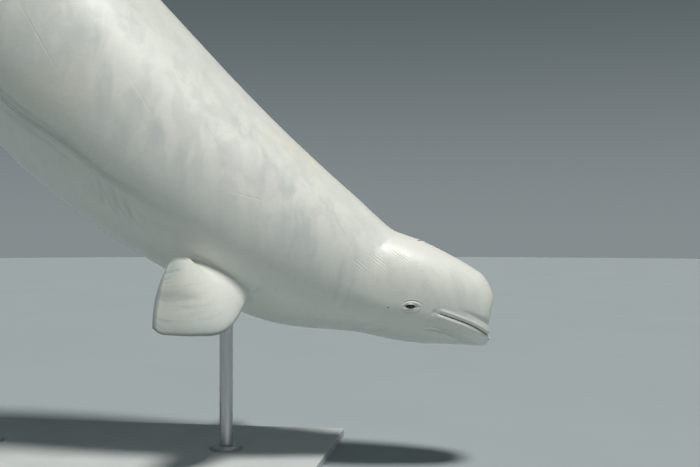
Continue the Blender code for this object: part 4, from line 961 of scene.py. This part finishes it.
def makeSkinPaint():
    made, maker, shader = newMaterial("skinPaint")
    here = maker.node("ShaderNodeTexCoord").outputs["Object"]
    along, around = mark(maker, "along"), mark(maker, "around") * (180 / math.pi)
    fin, chord, dark, crease = (mark(maker, name) for name in ("fin", "chord", "dark", "crease"))
    onFin = fin.rise(0.10, 0.45)
    # the fins' rims: partly their own darker edge, partly painted shade on the rounded rim
    edge = ((chord * 2 - 1).size().rise(0.90, 0.99) + fin.rise(0.95, 0.995)).kept() * onFin
    # broad clouding, then streaks that stand across the flank; the grey between the streaks is partly skin mottling and
    # partly painted dappled light
    cloud = noise(maker, here, 2.6, 3.0, 0.5)
    bent = maker.field("ShaderNodeVectorMath", {"operation": "MULTIPLY_ADD"},
                       {0: maker.node("ShaderNodeTexNoise", None, {"Vector": here, "Scale": 5.0, "Detail": 2.0}).outputs["Color"],
                        1: (0.10, 0.10, 0.10), 2: here})
    tall = mapped(maker, bent.socket, (1.0, 1.0, 0.34), (0, math.radians(-10), 0))
    cells = maker.field("ShaderNodeTexVoronoi", {"feature": "SMOOTH_F1"},
                        {"Vector": tall, "Scale": 15.0, "Smoothness": 0.6}, "Distance")
    streak = noise(maker, tall, 13.0, 3.0, 0.6, 0.4)
    # the painted dappled light shows most on the upper flank, where the light falls, and less on the head and along the
    # back
    upper = 1 - around.rise(62, 104)
    calmer = (1 - around.rise(18, 44)) * 0.55 + (1 - along.rise(0.34, 0.62)) * 0.45
    mottleAndDapple = (cells.rise(0.26, 0.62) * 0.46 + streak.rise(0.40, 0.62) * 0.66).kept()
    shade = ((1 - mottleAndDapple) * (upper * 0.80 + 0.14) * (1 - fin.rise(0.05, 0.3) * 0.5) * (1 - calmer.kept())).kept()
    warm = cloud.rise(0.50, 0.68)
    colour = blend(maker, warm * 0.55, skinPaint["cream"], skinPaint["warm"])
    colour = blend(maker, around.rise(96, 140) * 0.6, colour, skinPaint["belly"])
    # grey between the streaks: partly skin mottling, partly painted dappled light
    colour = blend(maker, shade * 0.50, colour, skinPaint["grey"])
    fine = noise(maker, here, 60.0, 5.0, 0.65)
    colour = blend(maker, fine.rise(0.45, 0.75) * 0.12, colour, skinPaint["grey"])
    lengthwise = maker.node("ShaderNodeCombineXYZ", None, {"X": chord * 11 + cloud * 2.0, "Y": fin * 1.3}).outputs[0]
    finStreak = noise(maker, lengthwise, 1.0, 4.0, 0.6).rise(0.50, 0.66) * onFin
    finMark = (chord - 0.53).bell(0.085) * fin.rise(0.42, 0.85) * (finStreak * 0.35 + 0.65)
    colour = blend(maker, (finStreak * 0.50 * fin.rise(0.2, 0.8)).kept(), colour, skinPaint["grey"])
    colour = blend(maker, finMark * 0.62, colour, skinPaint["edge"])
    # fin rims darkened: partly their own pigment, partly painted shade
    colour = blend(maker, edge * 0.80, colour, skinPaint["edge"])
    # painted shade in the pressed creases
    colour = blend(maker, crease.kept() * 0.40, colour, skinPaint["grey"])
    # bands of thin grooves along the lower flank, painted grey as shade in the grooves
    path = skinPaint["foldPath"]
    curve = maker.node("ShaderNodeFloatCurve", None, {"Value": (along - path[0][0]) / (path[-1][0] - path[0][0])})
    points = curve.mapping.curves[0].points
    while len(points) < len(path):
        points.new(0.5, 0.5)
    for point, (s, deg) in zip(points, path):
        point.location = ((s - path[0][0]) / (path[-1][0] - path[0][0]), (deg - 100) / 30)
    curve.mapping.update()
    centre = Field(maker, curve.outputs[0]) * 30 + 100
    gap = around - centre
    wave = ((gap * 4.6 + noise(maker, here, 9.0, 2.0) * 9.0).sine() * 0.5 + 0.5) ** 3
    flank = gap.bell(3.6) * along.rise(1.02, 1.25) * (1 - along.rise(1.85, 2.15)) * (1 - fin.rise(0.0, 0.02))
    lines = wave * flank
    cross = (((along * 150 + gap * 1.2) + noise(maker, here, 14.0, 2.0) * 8.0).sine() * 0.5 + 0.5) ** 3
    bulge = (around - 119).bell(5.0) * (along - 1.22).bell(0.10)
    lines = (lines + cross * bulge * 0.8).kept()
    offFin = 1 - fin.rise(0.0, 0.02)
    scar = sum(fineLine(along, around, *line[:3]) for line in scars) * offFin
    sway = noise(maker, here, 7.0, 3.0) * 0.030
    fold = sum(wrinkles(along, around, sway, *line[:4]) * line[4] for line in neckFolds)
    # painted shade in the flank grooves
    colour = blend(maker, (lines * 0.30).kept(), colour, skinPaint["grey"])
    colour = blend(maker, (scar * 0.55).kept(), colour, skinPaint["warm"])
    # painted shade in the neck wrinkles' grooves
    colour = blend(maker, (fold * 60.0).kept(), colour, skinPaint["grey"])
    # near-black painted shade in the lips' parting, the eye pockets, the ear holes and the blowhole
    colour = blend(maker, dark.kept(), colour, skinPaint["deep"])
    maker.tree.links.new(colour, shader.inputs["Base Color"])
    rough = noise(maker, here, 22.0, 4.0) * 0.22 + 0.34 + lines * 0.1
    maker.tree.links.new(rough.socket, shader.inputs["Roughness"])
    pores = noise(maker, here, 420.0, 2.0, 0.6)
    wrinkle = noise(maker, mapped(maker, here, (1, 1, 3.5), (0, math.radians(-38), 0)), 46.0, 5.0, 0.62)
    calm = noise(maker, here, 3.1, 2.0).rise(0.35, 0.65) * 0.65 + 0.35
    height = wrinkle * calm * 0.0006 + pores * 0.00010 + cloud * 0.0040 - lines * 0.0016 - scar * 0.0007 - fold
    bump = maker.node("ShaderNodeBump", None, {"Height": height, "Strength": 0.9, "Distance": 1.0})
    maker.tree.links.new(bump.outputs[0], shader.inputs["Normal"])
    shader.inputs["Coat Weight"].default_value = 0.08
    shader.inputs["Coat Roughness"].default_value = 0.28
    return made


skinFinish = makeSkinPaint()
creaseLines = makeCreaseLines()
settle(whaleSkin, makePressTree(), {"Lines": creaseLines, "Depth": 1.0, "Roll": 0.35, "Finish": skinFinish})
bpy.data.objects.remove(creaseLines, do_unlink=True)
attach(whaleSkin, "root")
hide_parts("head", "neck", "chest", "torso", "tail", "flipper_right", "flipper_left", "fluke_right", "fluke_left")
print("creases pressed:", len(whaleSkin.data.polygons), "triangles")

eyePaint = {"iris": (0.030, 0.017, 0.011, 1), "rim": (0.012, 0.009, 0.008, 1), "pupil": (0.002, 0.002, 0.003, 1),
            "white": (0.16, 0.13, 0.11, 1), "irisSize": 0.0118, "pupilSize": (0.0058, 0.0036), "cornea": 0.0009}


def makeEyePaint():
    made, maker, shader = newMaterial("eyePaint")
    ring, pupil = mark(maker, "ring"), mark(maker, "pupil")
    here = maker.node("ShaderNodeTexCoord").outputs["Object"]
    grain = noise(maker, here, 900.0, 3.0)
    colour = blend(maker, ring.rise(0.55, 0.98), eyePaint["iris"], eyePaint["rim"])
    colour = blend(maker, grain.rise(0.3, 0.7) * 0.35, colour, eyePaint["rim"])
    colour = blend(maker, 1 - pupil.rise(0.92, 1.06), colour, eyePaint["pupil"])
    colour = blend(maker, ring.rise(1.0, 1.12), colour, eyePaint["white"])
    maker.tree.links.new(colour, shader.inputs["Base Color"])
    maker.tree.links.new((grain * 0.04 + 0.05).socket, shader.inputs["Roughness"])
    shader.inputs["Coat Weight"].default_value = 0.8
    shader.inputs["Coat Roughness"].default_value = 0.02
    shader.inputs["Specular IOR Level"].default_value = 0.25
    return made


def makeEye(name, side, finish):
    centre, axis, back, up = eyeFrame(side)
    tilt = side * math.radians(eyeLook["tilt"])
    turns = np.linspace(0, 2 * math.pi, 48, endpoint=False)
    pts, ring, pupil, faces = [], [], [], []
    polars = spread((0.0, 44.0, 22), (44.0, 170.0, 20))[1:]
    for polar in polars:
        a = math.radians(polar)
        swell = eyePaint["cornea"] * float(bell(polar / 38.0) - bell(46.0 / 38.0)) if polar < 46 else 0.0
        r = eyeLook["radius"] + max(swell, 0.0) * 0.9
        for t in turns:
            u, v = math.sin(a) * math.cos(t), math.sin(a) * math.sin(t)
            pts.append(tuple(centre + r * (math.cos(a) * axis + u * back + v * up)))
            ring.append(math.hypot(u, v) * eyeLook["radius"] / eyePaint["irisSize"] if polar < 90 else 2.0)
            long = u * math.cos(tilt) + v * math.sin(tilt) * -side
            short = -u * math.sin(tilt) * -side + v * math.cos(tilt)
            pupil.append(math.hypot(long * eyeLook["radius"] / eyePaint["pupilSize"][0],
                                    short * eyeLook["radius"] / eyePaint["pupilSize"][1]) if polar < 90 else 3.0)
    n = len(turns)
    front, rear = len(pts), len(pts) + 1
    swell = eyePaint["cornea"] * float(1 - bell(46.0 / 38.0))
    pts += [tuple(centre + (eyeLook["radius"] + swell * 0.9) * axis), tuple(centre - eyeLook["radius"] * axis)]
    ring += [0.0, 2.0]
    pupil += [0.0, 3.0]
    for k in range(n):
        faces.append((front, k, (k + 1) % n))
        base = (len(polars) - 1) * n
        faces.append((rear, base + (k + 1) % n, base + k))
    for i in range(len(polars) - 1):
        for k in range(n):
            a, b = i * n + k, i * n + (k + 1) % n
            faces.append((a, a + n, b + n, b))
    mesh = bpy.data.meshes.new(name)
    mesh.from_pydata(pts, [], faces)
    work = bmesh.new()
    work.from_mesh(mesh)
    bmesh.ops.recalc_face_normals(work, faces=work.faces)
    work.to_mesh(mesh)
    work.free()
    mesh.polygons.foreach_set("use_smooth", [True] * len(mesh.polygons))
    for key, values in (("ring", ring), ("pupil", pupil)):
        layer = mesh.attributes.new(key, "FLOAT", "POINT")
        layer.data.foreach_set("value", np.array(values, np.float32))
    mesh.materials.append(finish)
    obj = bpy.data.objects.new(name, mesh)
    bpy.context.scene.collection.objects.link(obj)
    return obj


eyeFinish = makeEyePaint()
for name, side in (("eye_right", 1), ("eye_left", -1)):
    eye = makeEye(name.replace("eye", "eyeball"), side, eyeFinish)
    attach(eye, "root")
    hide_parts(name)
print("eyes made")

# Stand
standPaint = {"base": (0.50, 0.52, 0.52, 1), "baseWorn": (0.58, 0.60, 0.59, 1), "steel": (0.60, 0.61, 0.62, 1),
              "steelDark": (0.42, 0.43, 0.44, 1)}
collarScrews = {"count": 4, "ring": 0.046, "radius": 0.0050, "height": 0.0026, "socket": 0.0022, "seed": 3,
                "standX": (0.713, -0.197), "level": 0.0455}


def makeBasePaint():
    made, maker, shader = newMaterial("basePaint")
    here = maker.node("ShaderNodeTexCoord").outputs["Object"]
    patch = noise(maker, here, 5.0, 4.0)
    speck = noise(maker, here, 380.0, 3.0, 0.7)
    colour = blend(maker, patch.rise(0.35, 0.7) * 0.6, standPaint["base"], standPaint["baseWorn"])
    colour = blend(maker, speck.rise(0.55, 0.75) * 0.25, colour, standPaint["steelDark"])
    maker.tree.links.new(colour, shader.inputs["Base Color"])
    maker.tree.links.new((speck * 0.18 + patch * 0.10 + 0.40).socket, shader.inputs["Roughness"])
    bump = maker.node("ShaderNodeBump", None, {"Height": speck * 0.00025 + patch * 0.0006, "Strength": 0.6, "Distance": 1.0})
    maker.tree.links.new(bump.outputs[0], shader.inputs["Normal"])
    return made


def makeSteel():
    made, maker, shader = newMaterial("brushedSteel")
    here = maker.node("ShaderNodeTexCoord").outputs["Object"]
    brush = noise(maker, mapped(maker, here, (1, 1, 0.02)), 700.0, 3.0, 0.6)
    smudge = noise(maker, here, 12.0, 3.0)
    colour = blend(maker, brush.rise(0.3, 0.7) * 0.5, standPaint["steel"], standPaint["steelDark"])
    maker.tree.links.new(colour, shader.inputs["Base Color"])
    maker.tree.links.new((brush * 0.22 + smudge * 0.12 + 0.16).socket, shader.inputs["Roughness"])
    bump = maker.node("ShaderNodeBump", None, {"Height": brush * 0.00008, "Strength": 0.5, "Distance": 1.0})
    maker.tree.links.new(bump.outputs[0], shader.inputs["Normal"])
    shader.inputs["Metallic"].default_value = 1.0
    return made


def makeScrewTree():
    # round-headed screws set evenly on a ring
    tree = bpy.data.node_groups.new("screwRing", "GeometryNodeTree")
    for name, kind in (("Count", "NodeSocketInt"), ("Ring", "NodeSocketFloat"), ("Head", "NodeSocketFloat"),
                       ("Height", "NodeSocketFloat"), ("Seed", "NodeSocketInt"), ("Finish", "NodeSocketMaterial")):
        tree.interface.new_socket(name, in_out="INPUT", socket_type=kind)
    tree.interface.new_socket("Screws", in_out="OUTPUT", socket_type="NodeSocketGeometry")
    maker = TreeMaker(tree)
    entry = maker.node("NodeGroupInput")
    leave = maker.node("NodeGroupOutput")
    ring = maker.node("GeometryNodeMeshCircle", {"fill_type": "NONE"},
                      {"Vertices": entry.outputs["Count"], "Radius": entry.outputs["Ring"]})
    high, head = Field(maker, entry.outputs["Height"]), Field(maker, entry.outputs["Head"])
    lower = maker.node("GeometryNodeMeshCone", {"fill_type": "TRIANGLE_FAN"},
                       {"Vertices": 28, "Side Segments": 1, "Radius Top": head * 0.96, "Radius Bottom": head, "Depth": high * 0.55})
    upper = maker.node("GeometryNodeMeshCone", {"fill_type": "TRIANGLE_FAN"},
                       {"Vertices": 28, "Side Segments": 2, "Radius Top": head * 0.55, "Radius Bottom": head * 0.96, "Depth": high * 0.45})
    lift = maker.node("ShaderNodeCombineXYZ", None, {"Z": high * 0.55})
    raised = maker.node("GeometryNodeTransform", None, {"Geometry": upper.outputs[0], "Translation": lift.outputs[0]})
    both = maker.node("GeometryNodeJoinGeometry")
    tree.links.new(lower.outputs[0], both.inputs[0])
    tree.links.new(raised.outputs[0], both.inputs[0])
    turn = maker.node("FunctionNodeRandomValue", {"data_type": "FLOAT"}, {"Max": 6.28, "Seed": entry.outputs["Seed"]})
    spin = maker.node("ShaderNodeCombineXYZ", None, {"Z": Field(maker, turn.outputs[1])})
    put = maker.node("GeometryNodeInstanceOnPoints", None,
                     {"Points": ring.outputs[0], "Instance": both.outputs[0], "Rotation": spin.outputs[0]})
    real = maker.node("GeometryNodeRealizeInstances", None, {"Geometry": put.outputs[0]})
    painted = maker.node("GeometryNodeSetMaterial", None,
                         {"Geometry": real.outputs[0], "Material": entry.outputs["Finish"]})
    tree.links.new(painted.outputs[0], leave.inputs[0])
    return tree


def makeScrews(tree, finish):
    made = []
    for x in collarScrews["standX"]:
        mesh = bpy.data.meshes.new("collarScrews")
        obj = bpy.data.objects.new("collarScrews", mesh)
        bpy.context.scene.collection.objects.link(obj)
        settle(obj, tree, {"Count": collarScrews["count"], "Ring": collarScrews["ring"], "Head": collarScrews["radius"],
                           "Height": collarScrews["height"], "Seed": collarScrews["seed"], "Finish": finish})
        turn = np.array([[math.cos(math.pi / 4), -math.sin(math.pi / 4)], [math.sin(math.pi / 4), math.cos(math.pi / 4)]])
        co = np.zeros(len(obj.data.vertices) * 3)
        obj.data.vertices.foreach_get("co", co)
        co = co.reshape(-1, 3)
        co[:, :2] = co[:, :2] @ turn.T
        co += (x, 0.0, collarScrews["level"])
        obj.data.vertices.foreach_set("co", co.ravel())
        made.append(obj)
    work = bmesh.new()
    for obj in made:
        work.from_mesh(obj.data)
    mesh = bpy.data.meshes.new("collarScrews")
    bmesh.ops.remove_doubles(work, verts=work.verts, dist=1e-6)
    work.normal_update()
    inner = [face for face in work.faces
             if abs(face.normal.z) > 0.99 and any(len(edge.link_faces) > 2 for edge in face.edges)]
    bmesh.ops.delete(work, geom=inner, context="FACES")
    bmesh.ops.recalc_face_normals(work, faces=work.faces)
    work.to_mesh(mesh)
    work.free()
    mesh.materials.append(finish)
    for obj in made:
        bpy.data.objects.remove(obj, do_unlink=True)
    both = bpy.data.objects.new("collar_screws", mesh)
    bpy.context.scene.collection.objects.link(both)
    return both


baseFinish, steelFinish = makeBasePaint(), makeSteel()
for name, node in cad.items():
    if name.startswith("stand_"):
        node.data.materials.clear()
        node.data.materials.append(baseFinish if name == "stand_base" else steelFinish)
screws = makeScrews(makeScrewTree(), steelFinish)
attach(screws, "root")
print("stand finished")

# Floor and light
studio = {"floor": (0.33, 0.37, 0.38, 1), "floorWorn": (0.30, 0.34, 0.35, 1),
          "airLow": (0.36, 0.41, 0.425, 1), "airHigh": (0.130, 0.165, 0.176, 1), "airRise": (-0.02, 0.30),
          "airStrength": 0.65, "sunPower": 3.3, "sunAngle": 12.0, "sunLean": (12.0, 11.5),
          "sunColour": (1.0, 0.985, 0.955), "side": (2.7, -2.6, 2.0), "sideAim": (1.38, -0.15, 0.55),
          "sideSize": 0.5, "sidePower": 4.0}


def makeFloor():
    turns = np.linspace(0, 2 * math.pi, 96, endpoint=False)
    work = bmesh.new()
    ring = [work.verts.new((30 * math.cos(t), 30 * math.sin(t), -0.0005)) for t in turns]
    work.faces.new(ring)
    mesh = bpy.data.meshes.new("floor")
    work.to_mesh(mesh)
    work.free()
    made, maker, shader = newMaterial("floorPaint")
    here = maker.node("ShaderNodeTexCoord").outputs["Object"]
    soft = noise(maker, here, 0.9, 3.0)
    colour = blend(maker, soft.rise(0.3, 0.7) * 0.3, studio["floor"], studio["floorWorn"])
    maker.tree.links.new(colour, shader.inputs["Base Color"])
    maker.tree.links.new((noise(maker, here, 3.0, 3.0) * 0.1 + 0.62).socket, shader.inputs["Roughness"])
    mesh.materials.append(made)
    floor = bpy.data.objects.new("floor", mesh)
    bpy.context.scene.collection.objects.link(floor)


def makeLights():
    data = bpy.data.lights.new("overhead", "SUN")
    data.energy = studio["sunPower"]
    data.angle = math.radians(studio["sunAngle"])
    data.color = studio["sunColour"]
    light = bpy.data.objects.new("overhead", data)
    light.location = (0.5, 0.0, 5.0)
    light.rotation_euler = [math.radians(lean) for lean in studio["sunLean"]] + [0.0]
    bpy.context.scene.collection.objects.link(light)
    data = bpy.data.lights.new("side", "AREA")
    data.size = studio["sideSize"]
    data.energy = studio["sidePower"]
    light = bpy.data.objects.new("side", data)
    light.location = studio["side"]
    light.rotation_euler = (Vector(studio["sideAim"]) - light.location).to_track_quat("-Z", "Y").to_euler()
    bpy.context.scene.collection.objects.link(light)
    world = bpy.data.worlds.new("air")
    bpy.context.scene.world = world
    world.use_nodes = True
    maker = TreeMaker(world.node_tree)
    way = maker.node("ShaderNodeTexCoord").outputs["Generated"]
    height = maker.field("ShaderNodeSeparateXYZ", None, {"Vector": way}, "Z")
    back = world.node_tree.nodes["Background"]
    world.node_tree.links.new(blend(maker, height.rise(*studio["airRise"]), studio["airLow"], studio["airHigh"]),
                              back.inputs["Color"])
    back.inputs["Strength"].default_value = studio["airStrength"]


makeFloor()
makeLights()
bpy.context.scene.view_settings.view_transform = "Standard"
print("floor and light set")
